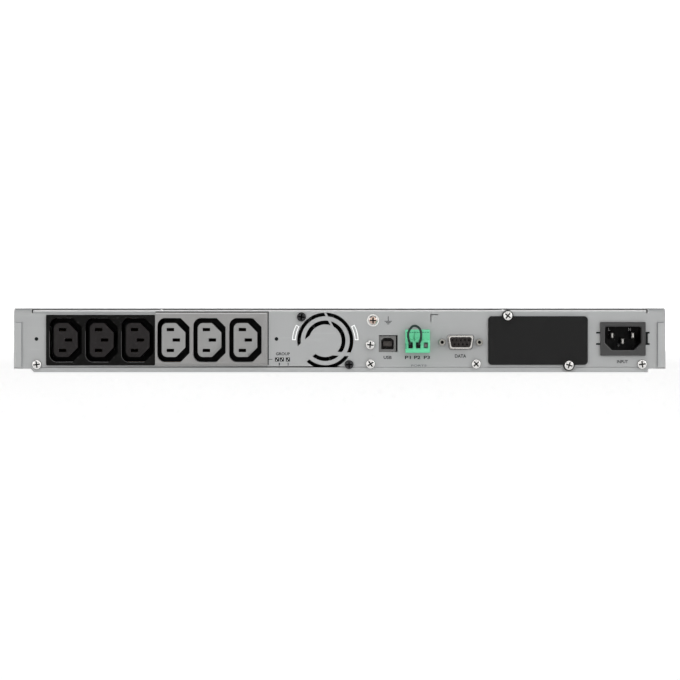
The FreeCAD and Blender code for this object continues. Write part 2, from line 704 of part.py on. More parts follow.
def fan_rotor():
    """Hub cup on a shaft, with seven blades."""
    y0 = PANEL_IN + 1.0
    cup = rod((FAN_X, y0, FAN_Z), 9.2, 14.0)
    hollow = rod((FAN_X, y0 + 1.4, FAN_Z), 7.6, 14.0)
    shaft = rod((FAN_X, y0, FAN_Z), 1.0, 17.5)
    hub = cup.cut(hollow).fuse(shaft)
    band = rod((FAN_X, y0 + 0.2, FAN_Z), 18.2, 13.6).cut(rod((FAN_X, y0 - 1, FAN_Z), 8.6, 16))
    blades = [fan_blade(360 / 7 * i).common(band) for i in range(7)]
    return fuse([hub, *blades])


def fan_screws():
    return group(pan_screw(x, z, REAR, 9.0, radius=1.9, head_r=3.1) for x, z in fan_screw_places())


# ---------------------------------------------------------------- data ports
def usb_cavity(grow, y):
    """The socket mouth: square below, two chamfers above."""
    wide, high, chamfer = 4.25 + grow, 3.8 + grow, 1.7
    points = [
        (-wide, -high),
        (wide, -high),
        (wide, high - chamfer),
        (wide - chamfer, high),
        (-wide + chamfer, high),
        (-wide, high - chamfer),
    ]
    return slab([(USB_X + x, USB_Z + 0.2 + z) for x, z in points], y, "y", 0.3)


def usb_shell():
    y = (REAR + 0.6, REAR + 16.6)
    can = slab(rectangle((USB_X - 5.65, USB_X + 5.65), (13.7, 24.4)), y, "y", 0.5)
    mouth = usb_cavity(0.0, (y[0] - 1, y[0] + 9.5))
    back_room = block((USB_X - 5, USB_X + 5), (y[0] + 9, y[1] + 1), (14, 23.8))
    return cut(can, [mouth, back_room])


def usb_insert():
    back = block((USB_X - 4.9, USB_X + 4.9), (REAR + 10.2, REAR + 17.0), (14.1, 23.7))
    outline = rectangle((USB_X - 2.85, USB_X + 2.85), (USB_Z - 1.5, USB_Z + 1.7))
    tongue = slab(outline, (REAR + 1.6, REAR + 10.2), "y", 0.3)
    return back.fuse(tongue)


def terminal_ways():
    return grid(3, TERMINAL_PITCH, TERMINAL_X)


def terminal_header():
    """The board-mounted half, open towards the plug, with three pins."""
    shell = block(HEADER_X, (REAR + 0.3, REAR + 12), (COMMS_TOP, HEADER_TOP))
    cavity = block((45.4, 59.4), (REAR - 1, REAR + 9.4), (14.8, 25.8))
    pins = [block((x - 0.5, x + 0.5), (REAR + 1.5, REAR + 10), (19.3, 20.3)) for x in terminal_ways()]
    return fuse([cut(shell, [cavity]), *pins])


def terminal_plug():
    """The pull-off half: wire entries below, screw towers above, nose into the header."""
    front, step = REAR - 9.0, REAR - 6.6
    profile = [
        (front, TERMINAL_Z[0]),
        (REAR - 0.35, TERMINAL_Z[0]),
        (REAR - 0.35, TERMINAL_Z[1]),
        (step + 1.2, TERMINAL_Z[1]),
        (step, TERMINAL_Z[1] - 1.5),
        (step, 22.4),
        (front, 21.6),
    ]
    body = slab(profile, TERMINAL_SPAN, "x", [0.4, 0, 0.3, 0.3, 0.3, 0.4, 0.4])
    nose = block((45.8, 59.0), (REAR - 0.5, REAR + 8.6), (15.3, 25.2))
    plug = body.fuse(nose)
    holes = []
    for x in terminal_ways():
        holes.append(slab(rectangle((x - 1.45, x + 1.45), (16.2, 20.1)), (front - 1, front + 6.5), "y", 0.3))
        holes.append(rod((x, step + 3.3, 22.0), 1.75, 12.0, (0, 0, 1)))
        holes.append(block((x - 0.8, x + 0.8), (REAR + 1.2, REAR + 9), (18.9, 20.7)))
    for x in (TERMINAL_X - TERMINAL_PITCH / 2, TERMINAL_X + TERMINAL_PITCH / 2):
        holes.append(block((x - 0.25, x + 0.25), (front - 1, step + 0.9), (21.0, 31)))
    for side in (TERMINAL_SPAN[0] - 1, TERMINAL_SPAN[1] - 0.5):
        holes.append(block((side, side + 1.5), (front + 2, REAR - 2), (15.5, 19.0)))
    return cut(plug, holes)


def terminal_screws():
    """Slotted clamp screws at the bottom of the three towers."""
    found = []
    for x in terminal_ways():
        screw = rod((x, REAR - 3.3, 22.0), 1.6, 4.4, (0, 0, 1))
        slot = block((x - 2, x + 2), (REAR - 3.65, REAR - 2.95), (25.6, 27))
        found.append(screw.cut(slot))
    return group(found)


def wire_path():
    """The bridge wire's route from way one up over to way two, as (x, y, z) points."""
    one, two = terminal_ways()[:2]
    mouth = REAR - 2.5
    return [
        (one, mouth, 18.1),
        (one - 0.1, REAR - 10.5, 18.2),
        (one - 1.6, REAR - 12.6, 22.4),
        (one - 1.9, REAR - 12.4, 26.8),
        (one + 0.5, REAR - 11.8, 30.6),
        (one + 3.0, REAR - 11.5, 31.4),
        (two + 0.9, REAR - 11.8, 29.8),
        (two + 2.1, REAR - 12.3, 26.0),
        (two + 1.5, REAR - 12.6, 21.8),
        (two + 0.1, REAR - 10.5, 18.2),
        (two, mouth, 18.1),
    ]


def tube(points, radius):
    """A tube along straight runs joined by tangent arcs, each as wide as its runs allow."""
    places = [V(*p) for p in points]
    edges, bends, here = [], [], places[0]
    for before, corner, after in zip(places, places[1:], places[2:]):
        a, b = (before - corner), (after - corner)
        shorter = min(a.Length, b.Length)
        a.normalize()
        b.normalize()
        half = a.getAngle(b) / 2
        reach = 0.45 * shorter
        bend = reach * math.tan(half)
        bends.append(bend)
        start, end = corner + a * reach, corner + b * reach
        middle = corner + (a + b).normalize() * (bend / math.sin(half) - bend)
        edges.append(Part.LineSegment(here, start).toShape())
        edges.append(Part.Arc(start, middle, end).toShape())
        here = end
    edges.append(Part.LineSegment(here, places[-1]).toShape())
    path = Part.Wire(edges)
    ring = Part.Wire([Part.Circle(places[0], places[1] - places[0], radius).toShape()])
    body = path.makePipeShell([ring], True, False)
    expected = math.pi * radius**2 * path.Length
    share = body.Volume / expected
    print("wire %.1f mm long, bends %s, volume share %.3f" % (path.Length, [round(b, 1) for b in bends], share))
    return body


def bridge_wire():
    return tube(wire_path(), WIRE_R)


def serial_outline(grow, y):
    """The nine-way connector's D outline, wider at the top."""
    top, low = SERIAL_SIZE[0] / 2 + grow, SERIAL_SIZE[0] / 2 - 1.35 + grow
    high = SERIAL_SIZE[1] / 2 + grow
    points = [(-low, -high), (low, -high), (top, high), (-top, high)]
    return slab([(SERIAL_X + x, SERIAL_Z + z) for x, z in points], y, "y", 1.7 + grow * 0.3)


def serial_shell():
    """Pressed steel shroud with its fixing flange behind the panel."""
    shroud = serial_outline(0.0, (REAR - 4.6, PANEL_IN + 1.9))
    flange = slab(
        rectangle((SERIAL_X - 15.4, SERIAL_X + 15.4), (SERIAL_Z - 6.2, SERIAL_Z + 6.2)),
        (PANEL_IN + 1.0, PANEL_IN + 1.9),
        "y",
        1.0,
    )
    shell = shroud.fuse(flange)
    inner = serial_outline(-0.8, (REAR - 6, PANEL_IN + 3))
    holes = [rod((SERIAL_X + s * JACK_PITCH / 2, PANEL_IN - 1, SERIAL_Z), 1.55, 5.0) for s in (-1, 1)]
    return cut(shell, [inner, *holes])


def serial_insert():
    """Black insulator with five holes over four."""
    insert = serial_outline(-0.85, (REAR - 4.2, PANEL_IN + 1.9))
    wide, high = (SERIAL_X - 9.3, SERIAL_X + 9.3), (COMMS_TOP, SERIAL_Z + 5.4)
    back = block(wide, (PANEL_IN + 1.9, PANEL_IN + 9), high)
    holes = []
    for count, z in ((5, SERIAL_Z + 1.42), (4, SERIAL_Z - 1.42)):
        holes += [rod((x, REAR - 5, z), 0.62, 6.0) for x in grid(count, 2.77, SERIAL_X)]
    return cut(insert.fuse(back), holes)


def serial_jackscrews():
    """Hexagonal posts, threaded for the cable's thumbscrews."""
    found = []
    for s in (-1, 1):
        x = SERIAL_X + s * JACK_PITCH / 2
        corners = [
            (x + JACK_HEX_R * math.cos(a), SERIAL_Z + JACK_HEX_R * math.sin(a))
            for a in (math.radians(30 + 60 * i) for i in range(6))
        ]
        post = slab(corners, (REAR - 5.2, REAR), "y")
        bevel = Part.makeCone(2.1, 3.35, 1.6, V(x, REAR - 5.2, SERIAL_Z), V(0, 1, 0))
        post = post.common(bevel.fuse(rod((x, REAR - 3.6, SERIAL_Z), 3.35, 3.6)))
        stud = rod((x, REAR, SERIAL_Z), 1.4, 6.0)
        found.append(cut(post.fuse(stud), [rod((x, REAR - 6, SERIAL_Z), JACK_BORE_R, 5.6)]))
    return group(found)


def comms_board():
    board = block((24.0, 98.0), (PANEL_IN + 0.8, COMMS_BACK), (COMMS_TOP - 1.6, COMMS_TOP))
    holes = [rod((x, y, 5), 1.6, 10, (0, 0, 1)) for x in (27.5, 94.5) for y in (-240.0, -200.0)]
    return cut(board, holes)


# ---------------------------------------------------------------- option slot
def slot_cover():
    """Black blanking plate with two ears for its screws and a locating skirt."""
    y = (SLOT_SEAT - SLOT_SHEET, SLOT_SEAT)
    plate = slab(rectangle(SLOT_PLATE[:2], SLOT_PLATE[2:]), y, "y", 2.5)
    ears = [rod((x, y[0], z), 3.9, SLOT_SHEET) for x, z in SLOT_SCREWS]
    x = (SLOT_CUT[0] + 0.35, SLOT_CUT[1] - 0.35)
    z = (SLOT_CUT[2] + 0.35, SLOT_CUT[3] - 0.35)
    outer = slab(rectangle(x, z), (SLOT_SEAT, REAR + 5), "y", 1.6)
    inner = block((x[0] + 1.5, x[1] - 1.5), (SLOT_SEAT, REAR + 6), (z[0] + 1.5, z[1] - 1.5))
    cover = fuse([plate, *ears])
    rim = [e for e in cover.Edges if near(e.CenterOfMass.y, y[0])]
    cover = cover.makeFillet(0.4, rim)
    cover = cover.fuse(outer.cut(inner))
    return cut(cover, [rod((x, REAR - 3, z), 1.6, 4.0) for x, z in SLOT_SCREWS])


def slot_cover_screws():
    return group(pan_screw(x, z, SLOT_SEAT - SLOT_SHEET, 7.5) for x, z in SLOT_SCREWS)


def slot_cage():
    """Sheet steel sleeve that guides an option card to its connector."""
    x, z = (SLOT_CUT[0] - 1.2, SLOT_CUT[1] + 1.2), (SLOT_CUT[2] - 1.2, SLOT_CUT[3] + 1.2)
    sleeve = block(x, (PANEL_IN + 0.1, CAGE_BACK), z)
    bore = block(SLOT_CUT[:2], (REAR, CAGE_BACK - 1.0), SLOT_CUT[2:])
    cage = cut(sleeve, [bore, block((114.0, 152.0), (CAGE_BACK - 3, CAGE_BACK + 1), (14.0, 27.0))])
    rails = []
    for rail_x in ((SLOT_CUT[0], SLOT_CUT[0] + 1.4), (SLOT_CUT[1] - 1.4, SLOT_CUT[1])):
        for z0 in (12.0, 15.4):
            rails.append(block(rail_x, (REAR + 8, CAGE_BACK - 1.0), (z0, z0 + 1.0)))
    return fuse([cage, *rails])


def slot_connector():
    """Card-edge socket in the back of the cage."""
    body = block((115.0, 151.0), (CAGE_BACK - 9, CAGE_BACK + 4), (14.6, 26.4))
    return cut(body, [block((117.0, 149.0), (CAGE_BACK - 10, CAGE_BACK - 2), (19.6, 21.4))])


# ---------------------------------------------------------------- power electronics
BOARD_Z = (8.0, 9.6)


def main_board():
    """L-shaped power board behind the outlets and beside the battery bay."""
    outline = [
        (-213.0, -216.0),
        (20.0, -216.0),
        (20.0, -190.0),
        (94.0, -190.0),
        (94.0, -101.0),
        (-103.0, -101.0),
        (-103.0, 60.0),
        (-213.0, 60.0),
    ]
    board = slab(outline, BOARD_Z, "z", 2.0)
    return cut(board, [rod((x, y, 5), 1.6, 8, (0, 0, 1)) for x, y in standoff_places()])


def standoff_places():
    rear = [(-200.0, -209.0), (-60.0, -209.0), (88.0, -182.0)]
    return rear + [(-200.0, -95.0), (88.0, -108.0), (-200.0, 53.0), (-109.0, 53.0)]


def board_standoffs():
    """Hexagonal pillars under the boards, each with its fixing screw."""
    found = []
    for x, y in standoff_places():
        found.append(rod((x, y, SHEET), 2.9, BOARD_Z[0] - SHEET, (0, 0, 1)))
        found.append(rod((x, y, BOARD_Z[1]), 2.7, 1.8, (0, 0, 1)))
    for x in (27.5, 94.5):
        for y in (-240.0, -200.0):
            found.append(rod((x, y, SHEET), 2.5, COMMS_TOP - 1.6 - SHEET, (0, 0, 1)))
    return group(found)


def heat_sinks():
    """Two finned extrusions standing on the board."""
    found = []
    for x0, y0 in ((-60.0, -150.0), (30.0, -150.0)):
        base = block((x0, x0 + 50), (y0, y0 + 4), (BOARD_Z[1], 38.0))
        middles = grid(9, 5.8, x0 + 25.0)
        fins = [block((x - 0.8, x + 0.8), (y0 + 4, y0 + 24), (BOARD_Z[1], 38.0)) for x in middles]
        found.append(fuse([base, *fins]))
    return group(found)


def switching_parts():
    """Changeover relays behind the outlets, and flat transistors clamped to the heat sinks."""
    found = []
    for x in (-180.0, -145.0, -110.0, -75.0):
        found.append(slab(rectangle((x - 14.5, x + 14.5), (-206.0, -193.0)), (BOARD_Z[1], 29.0), "z", 0.8))
    for x0 in (-60.0, 30.0):
        for x in grid(3, 15.0, x0 + 25):
            case = block((x - 5, x + 5), (-155.0, -150.0), (14.0, 30.0))
            middles = grid(3, 2.5, x)
            legs = [block((m - 0.4, m + 0.4), (-153.0, -152.4), (BOARD_Z[1], 14.0)) for m in middles]
            found.append(fuse([case, *legs]))
    return group(found)


def bulk_capacitors():
    """Four upright electrolytic cans."""
    return group(rod((-185.0 + 22 * i, -120.0, BOARD_Z[1]), 9.0, 29.0, (0, 0, 1)) for i in range(4))


def output_inductor():
    """Wound toroid lying on the board."""
    ring = Part.makeTorus(13.0, 6.0, V(0, -178.0, BOARD_Z[1] + 6.05), V(0, 0, 1))
    return ring


def transformer_core():
    """Laminated core lying flat in the front of the electronics side."""
    core = block((-205.0, -109.0), (86.0, 190.0), (5.0, 37.0))
    windows = [block(x, (104.0, 172.0), (0, 42)) for x in ((-187.0, -165.0), (-149.0, -127.0))]
    rails = [block(x, (92.0, 184.0), (SHEET, 5.0)) for x in ((-203.0, -191.0), (-123.0, -111.0))]
    return fuse([cut(core, windows), *rails])


def transformer_winding():
    """Taped coil round the centre limb."""
    coil = slab(rectangle((-186.0, -128.0), (106.0, 170.0)), (3.0, 39.5), "z", 4.0)
    return cut(coil, [block((-165.2, -148.8), (100.0, 180.0), (4.9, 37.1))])


def inlet_filter():
    """Shielded mains filter behind the inlet."""
    can = slab(rectangle((172.0, 204.0), (-205.0, -120.0)), (SHEET, 33.0), "z", 2.0)
    tags = [block((x - 1.6, x + 1.6), (-214.0, -205.0), (z - 0.4, z + 0.4)) for x, z in inlet_pin_places()]
    return fuse([can, *tags])


# ---------------------------------------------------------------- battery
def battery_tray():
    """Sheet drawer with a low rim and a tall front wall that carries the pull."""
    x, y, floor = TRAY_X, TRAY_Y, TRAY_FLOOR
    parts = [block(x, y, (floor, floor + TRAY_SHEET))]
    for wall in ((x[0], x[0] + TRAY_SHEET), (x[1] - TRAY_SHEET, x[1])):
        parts.append(block(wall, y, (floor, 24.0)))
    parts.append(block(x, (y[0], y[0] + TRAY_SHEET), (floor, 24.0)))
    front = slab(rectangle(x, (floor, 38.6)), (y[1] - SHEET, y[1]), "y", [0, 0, 3.0, 3.0])
    parts.append(front)
    holes = [rod((x0, y[1] - 3, 22.0), 2.6, 6.0) for x0 in (-60.0, 190.0)]
    return cut(fuse(parts), holes)


def battery_places():
    rows = [CELL_ORIGIN[1] + CELL_STEP[1] * j for j in range(3)]
    return [(CELL_ORIGIN[0] + CELL_STEP[0] * i, y) for y in rows for i in range(2)]


def battery_blocks():
    """Six sealed lead-acid blocks lying on their sides."""
    found = []
    z = (TRAY_FLOOR + TRAY_SHEET, TRAY_FLOOR + TRAY_SHEET + CELL[2])
    for x, y in battery_places():
        found.append(slab(rectangle((x, x + CELL[0]), (y, y + CELL[1])), z, "z", 1.5))
    return group(found)


def battery_terminals():
    """Two blade terminals on the front face of each block, and the straps that join each row in series."""
    z = TRAY_FLOOR + TRAY_SHEET + CELL[2] / 2
    found = []
    for x, y in battery_places():
        face = y + CELL[1]
        for middle in (x + 18.0, x + CELL[0] - 18.0):
            found.append(block((middle - 3.2, middle + 3.2), (face, face + 5.8), (z - 0.4, z + 0.4)))
    for x, y in battery_places()[::2]:
        face = y + CELL[1]
        strap = (x + CELL[0] - 21.0, x + CELL_STEP[0] + 21.0)
        found.append(block(strap, (face + 0.6, face + 5.4), (z + 0.4, z + 1.2)))
    return group(found)


def battery_plug():
    """Docking plug on the back of the tray."""
    plug = slab(rectangle((22.0, 58.0), (11.0, 25.0)), (TRAY_Y[0] - 13, TRAY_Y[0]), "y", 1.0)
    bores = [rod((x, TRAY_Y[0] - 14, 18.0), 3.2, 10.0) for x in (31.0, 49.0)]
    return cut(plug, bores)


def battery_socket():
    """Fixed docking socket behind the partition, with two contact posts."""
    shell = slab(rectangle((16.0, 64.0), (6.0, 30.0)), (BAY_Y - 18, BAY_Y), "y", 1.5)
    cavity = block((20.8, 59.2), (BAY_Y - 14, BAY_Y + 1), (9.8, 26.2))
    posts = [rod((x, BAY_Y - 14.5, 18.0), 2.6, 9.0) for x in (31.0, 49.0)]
    return fuse([cut(shell, [cavity]), *posts])


def tray_pull():
    """Moulded loop handle on the tray's front wall."""
    y0 = TRAY_Y[1]
    outer = [(34.0, y0), (34.0, y0 + 14), (98.0, y0 + 14), (98.0, y0)]
    inner = [(40.0, y0 - 1), (40.0, y0 + 10), (92.0, y0 + 10), (92.0, y0 - 1)]
    loop = slab(outer, (15.0, 27.0), "z", [0, 5.0, 5.0, 0])
    return cut(loop, [slab(inner, (14.0, 28.0), "z", [0, 3.0, 3.0, 0])])


# ---------------------------------------------------------------- front
def door_surround():
    """Moulded frame that the battery door snaps into and the tray slides through."""
    body = block((MULLION[0], HALF), (BEZEL_BACK, FRONT), (0, HEIGHT))
    rim = [e for e in body.Edges if near(e.CenterOfMass.y, FRONT) and e.CenterOfMass.x > MULLION[1]]
    body = body.makeFillet(1.5, rim)
    through = (BEZEL_BACK - 1, FRONT + 1)
    return cut(body, [slab(rectangle(DOOR_OPENING[:2], DOOR_OPENING[2:]), through, "y", 0.5)])


def front_bezel():
    """Moulded front of the electronics side: display window, keys, lights and low air slots."""
    body = block((-HALF, MULLION[0]), (BEZEL_BACK, FRONT), (0, HEIGHT))
    rim = [e for e in body.Edges if near(e.CenterOfMass.y, FRONT) and e.CenterOfMass.x < MULLION[0] - 1]
    body = body.makeFillet(1.5, rim)
    face = (FRONT - FACE_SHEET - 1, FRONT + 1)
    holes = []
    holes.append(block((-HALF + 2, MULLION[0] + 1), (BEZEL_BACK - 1, FRONT - FACE_SHEET), (2.0, HEIGHT - 2)))
    holes.append(slab(rectangle(DISPLAY[:2], DISPLAY[2:]), (FRONT - 1.7, FRONT + 1), "y", 2.0))
    window = rectangle((DISPLAY[0] + 3, DISPLAY[1] - 3), (DISPLAY[2] + 3, DISPLAY[3] - 3))
    holes.append(slab(window, face, "y", 1.0))
    for x in NAV_X:
        holes.append(slab(rectangle((x - 5.85, x + 5.85), (NAV_Z - 2.45, NAV_Z + 2.45)), face, "y", 1.2))
    holes.append(rod((POWER_X, FRONT - 5, POWER_Z), 6.8, 7.0))
    holes += [rod((LIGHTS_X, FRONT - 5, z), 1.4, 7.0) for z in LIGHTS_Z]
    for z in (5.0, 8.6, 12.2):
        holes.append(slab(rectangle((-211.0, -187.0), (z, z + 1.8)), face, "y", 0.89))
    bosses = [
        rod((x, FRONT - 11.2, z), 2.0, 11.2 - FACE_SHEET)
        for x, z in ((-208.0, 38.0), (-98.5, 38.0), (-98.5, 5.0), (-183.0, 5.0))
    ]
    return fuse([cut(body, holes), *bosses])


def door_bounds():
    gap = 0.35
    x = (DOOR_OPENING[0] + gap, DOOR_OPENING[1] - gap)
    return x, (DOOR_OPENING[2] + gap, DOOR_OPENING[3] - gap)


def door_grip():
    """The door's end with a finger scoop."""
    x, z = door_bounds()
    right = x[0] + GRIP_LENGTH
    body = slab(rectangle((x[0], right), z), (FRONT - 10.0, FRONT), "y", [1.0, 0, 0, 1.0])
    rim = [e for e in body.Edges if near(e.CenterOfMass.y, FRONT) and e.CenterOfMass.x < right - 0.1]
    body = body.makeFillet(0.6, rim)
    scoop = slab(rectangle((-79.6, -58.8), (12.0, 33.0)), (FRONT - 8.4, FRONT + 1), "y", 2.0)
    return cut(body, [scoop])


def battery_door():
    """Snap-in panel over the battery bay, slotted for intake air, with a short skirt."""
    x, z = door_bounds()
    left = x[0] + GRIP_LENGTH
    panel = slab(rectangle((left, x[1]), z), (FRONT - 10.0, FRONT), "y", [0, 1.0, 1.0, 0])
    rim = [e for e in panel.Edges if near(e.CenterOfMass.y, FRONT) and e.CenterOfMass.x > left + 0.1]
    panel = panel.makeFillet(0.6, rim)
    hollow = block((left - 1, x[1] - 1.6), (FRONT - 11, FRONT - 2.4), (z[0] + 1.6, z[1] - 1.6))
    holes = [hollow]
    for first in (x[0] + 42.0, x[0] + 128.0, x[0] + 214.0):
        for row in grid(6, 5.0, sum(z) / 2):
            outline = rectangle((first, first + 78.0), (row - 1.1, row + 1.1))
            holes.append(slab(outline, (FRONT - 4, FRONT + 1), "y", 1.09))
    return cut(panel, holes)


def display_lens():
    """Smoked window dropped into the bezel."""
    outline = rectangle((DISPLAY[0] + 0.2, DISPLAY[1] - 0.2), (DISPLAY[2] + 0.2, DISPLAY[3] - 0.2))
    return slab(outline, (FRONT - 1.7, FRONT - 0.2), "y", 1.8)


def display_module():
    """Backlit liquid-crystal unit behind the window."""
    return slab(rectangle((-179.5, -114.5), (13.4, 37.1)), (FRONT - 11.2, FRONT - 2.6), "y", 0.6)


def display_board():
    board = block((-212.0, -97.0), (FRONT - 12.8, FRONT - 11.2), (2.6, 40.4))
    tall = (FRONT - 11.2, FRONT - 7.8)
    switches = [block((x - 3, x + 3), tall, (NAV_Z - 2.6, NAV_Z + 3)) for x in NAV_X]
    switches.append(block((POWER_X - 3, POWER_X + 3), tall, (POWER_Z - 3, POWER_Z + 3)))
    return fuse([board, *switches])


def nav_button(x):
    """A short key with a flange that keeps it behind the bezel."""
    outline = rectangle((x - 5.5, x + 5.5), (NAV_Z - 2.1, NAV_Z + 2.1))
    cap = slab(outline, (FRONT - 4.6, FRONT + 0.7), "y", 1.0)
    rim = [e for e in cap.Edges if near(e.CenterOfMass.y, FRONT + 0.7)]
    cap = cap.makeFillet(0.4, rim)
    flange = block((x - 6.4, x + 6.4), (FRONT - 4.6, FRONT - 3.0), (NAV_Z - 3.2, NAV_Z + 3.2))
    stem = block((x - 1.5, x + 1.5), (FRONT - 6.8, FRONT - 4.6), (NAV_Z - 1.5, NAV_Z + 1.5))
    return fuse([cap, flange, stem])


def power_button():
    """Round key, slightly dished."""
    cap = rod((POWER_X, FRONT - 4.6, POWER_Z), 6.5, 5.5)
    rim = [e for e in cap.Edges if near(e.CenterOfMass.y, FRONT + 0.9)]
    cap = cap.makeFillet(0.7, rim)
    dish = Part.makeSphere(30.0, V(POWER_X, FRONT + 0.9 + 29.55, POWER_Z))
    flange = rod((POWER_X, FRONT - 4.6, POWER_Z), 7.8, 1.6)
    stem = rod((POWER_X, FRONT - 6.8, POWER_Z), 1.8, 2.2)
    return fuse([cap.cut(dish), flange, stem])


def status_lights():
    """Three light pipes from the display board to the bezel."""
    return group(rod((LIGHTS_X, FRONT - 11.1, z), 1.3, 11.3) for z in LIGHTS_Z)


# ---------------------------------------------------------------- build
NODES = {
    "chassis_tray": chassis_tray,
    "top_cover": top_cover,
    "rear_panel": rear_panel,
    "bay_side_wall": bay_side_wall,
    "bay_back_wall": bay_back_wall,
    "tray_runners": tray_runners,
    "cover_screws": cover_screws,
    "panel_screws": panel_screws,
    "earth_screw": earth_screw,
    "outlet_block_dark": outlet_block_dark,
    "outlet_block_pale": outlet_block_pale,
    "outlet_contacts": outlet_contacts,
    "inlet_housing": inlet_housing,
    "inlet_pins": inlet_pins,
    "inlet_filter": inlet_filter,
    "fan_frame": fan_frame,
    "fan_stator": fan_stator,
    "fan_rotor": fan_rotor,
    "fan_screws": fan_screws,
    "usb_shell": usb_shell,
    "usb_insert": usb_insert,
    "terminal_header": terminal_header,
    "terminal_plug": terminal_plug,
    "terminal_screws": terminal_screws,
    "bridge_wire": bridge_wire,
    "serial_shell": serial_shell,
    "serial_insert": serial_insert,
    "serial_jackscrews": serial_jackscrews,
    "comms_board": comms_board,
    "slot_cover": slot_cover,
    "slot_cover_screws": slot_cover_screws,
    "slot_cage": slot_cage,
    "slot_connector": slot_connector,
    "main_board": main_board,
    "board_standoffs": board_standoffs,
    "heat_sinks": heat_sinks,
    "switching_parts": switching_parts,
    "bulk_capacitors": bulk_capacitors,
    "output_inductor": output_inductor,
    "transformer_core": transformer_core,
    "transformer_winding": transformer_winding,
    "battery_tray": battery_tray,
    "battery_blocks": battery_blocks,
    "battery_terminals": battery_terminals,
    "battery_plug": battery_plug,
    "battery_socket": battery_socket,
    "tray_pull": tray_pull,
    "front_bezel": front_bezel,
    "door_surround": door_surround,
    "battery_door": battery_door,
    "door_grip": door_grip,
    "display_lens": display_lens,
    "display_module": display_module,
    "display_board": display_board,
    "power_button": power_button,
    "status_lights": status_lights,
}
for number, nav_x in enumerate(NAV_X, start=1):
    NODES["nav_button_%d" % number] = lambda x=nav_x: nav_button(x)

os.makedirs("parts", exist_ok=True)
for name, make in NODES.items():
    shape = make()
    solids = shape.Solids
    if not shape.isValid() or not solids:
        raise RuntimeError("%s is not a valid solid" % name)
    Part.makeCompound(solids).exportStep("parts/%s.step" % name)
    print("%-20s %2d solids %10.0f mm3" % (name, len(solids), sum(s.Volume for s in solids)))
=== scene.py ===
"""The looks of a one-unit rack-mount uninterruptible power supply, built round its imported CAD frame."""

import bmesh
import bpy
import json
import math
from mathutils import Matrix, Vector

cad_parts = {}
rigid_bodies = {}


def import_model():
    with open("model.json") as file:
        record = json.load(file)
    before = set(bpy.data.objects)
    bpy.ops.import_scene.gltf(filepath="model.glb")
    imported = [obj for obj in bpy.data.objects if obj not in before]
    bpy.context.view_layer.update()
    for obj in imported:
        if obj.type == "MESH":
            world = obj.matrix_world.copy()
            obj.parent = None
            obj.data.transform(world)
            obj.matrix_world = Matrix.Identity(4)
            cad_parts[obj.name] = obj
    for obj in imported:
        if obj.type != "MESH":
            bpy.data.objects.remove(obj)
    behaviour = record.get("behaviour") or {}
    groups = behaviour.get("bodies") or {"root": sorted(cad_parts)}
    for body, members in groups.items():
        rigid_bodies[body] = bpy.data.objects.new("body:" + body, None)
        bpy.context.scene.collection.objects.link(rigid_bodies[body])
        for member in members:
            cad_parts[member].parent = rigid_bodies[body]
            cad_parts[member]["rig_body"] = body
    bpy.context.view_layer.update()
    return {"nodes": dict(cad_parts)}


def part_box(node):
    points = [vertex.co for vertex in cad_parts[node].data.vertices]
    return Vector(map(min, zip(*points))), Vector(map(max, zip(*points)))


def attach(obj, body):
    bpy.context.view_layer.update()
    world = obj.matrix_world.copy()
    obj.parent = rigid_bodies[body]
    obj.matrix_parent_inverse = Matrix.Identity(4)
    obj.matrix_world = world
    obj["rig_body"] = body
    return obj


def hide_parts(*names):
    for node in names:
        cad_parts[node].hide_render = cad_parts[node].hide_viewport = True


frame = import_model()

MM = 0.001
REAR = -0.250  # connector panel's outer face
FRONT = 0.259  # bezel's outer face

# ---------------------------------------------------------------- camera
VIEW_WIDTH = 0.4570  # what the frame spans at the connector panel
VIEW_DISTANCE = 1.75
VIEW_HEIGHT = 0.0217
VIEW_ASIDE = 0.0002
SENSOR = 36.0


def placed(name, data):
    """A new object in the scene."""
    obj = bpy.data.objects.new(name, data)
    bpy.context.scene.collection.objects.link(obj)
    return obj


camera_data = bpy.data.cameras.new("camera")
camera_data.sensor_width = SENSOR
camera_data.lens = SENSOR * VIEW_DISTANCE / VIEW_WIDTH
camera_data.clip_start = 0.05
camera = placed("camera", camera_data)
camera.location = (VIEW_ASIDE, REAR - VIEW_DISTANCE, VIEW_HEIGHT)
camera.rotation_euler = (math.radians(90), 0, 0)
bpy.context.scene.camera = camera
bpy.context.scene.view_settings.view_transform = "Standard"


# ---------------------------------------------------------------- shader maths
class Socket:
    """One output of a material's nodes; arithmetic written on it becomes Math nodes."""

    def __init__(self, finish, output):
        self.finish, self.output = finish, output

    def _math(self, operation, *values):
        return self.finish.add("ShaderNodeMath", {"operation": operation}, dict(enumerate(values)))

    def __add__(self, other):
        return self._math("ADD", self, other)

    def __sub__(self, other):
        return self._math("SUBTRACT", self, other)

    def __rsub__(self, other):
        return self._math("SUBTRACT", other, self)

    def __mul__(self, other):
        return self._math("MULTIPLY", self, other)

    def __pow__(self, other):
        return self._math("POWER", self, other)

    def __abs__(self):
        return self._math("ABSOLUTE", self)

    __radd__, __rmul__ = __add__, __mul__

    def clamp(self, low=0.0, high=1.0):
        return self._math("MAXIMUM", self._math("MINIMUM", self, high), low)

    def above(self, edge, soft):
        """0 below edge and 1 above it, turning over a band of soft."""
        return ((self - edge) * (1 / soft) + 0.5).clamp()


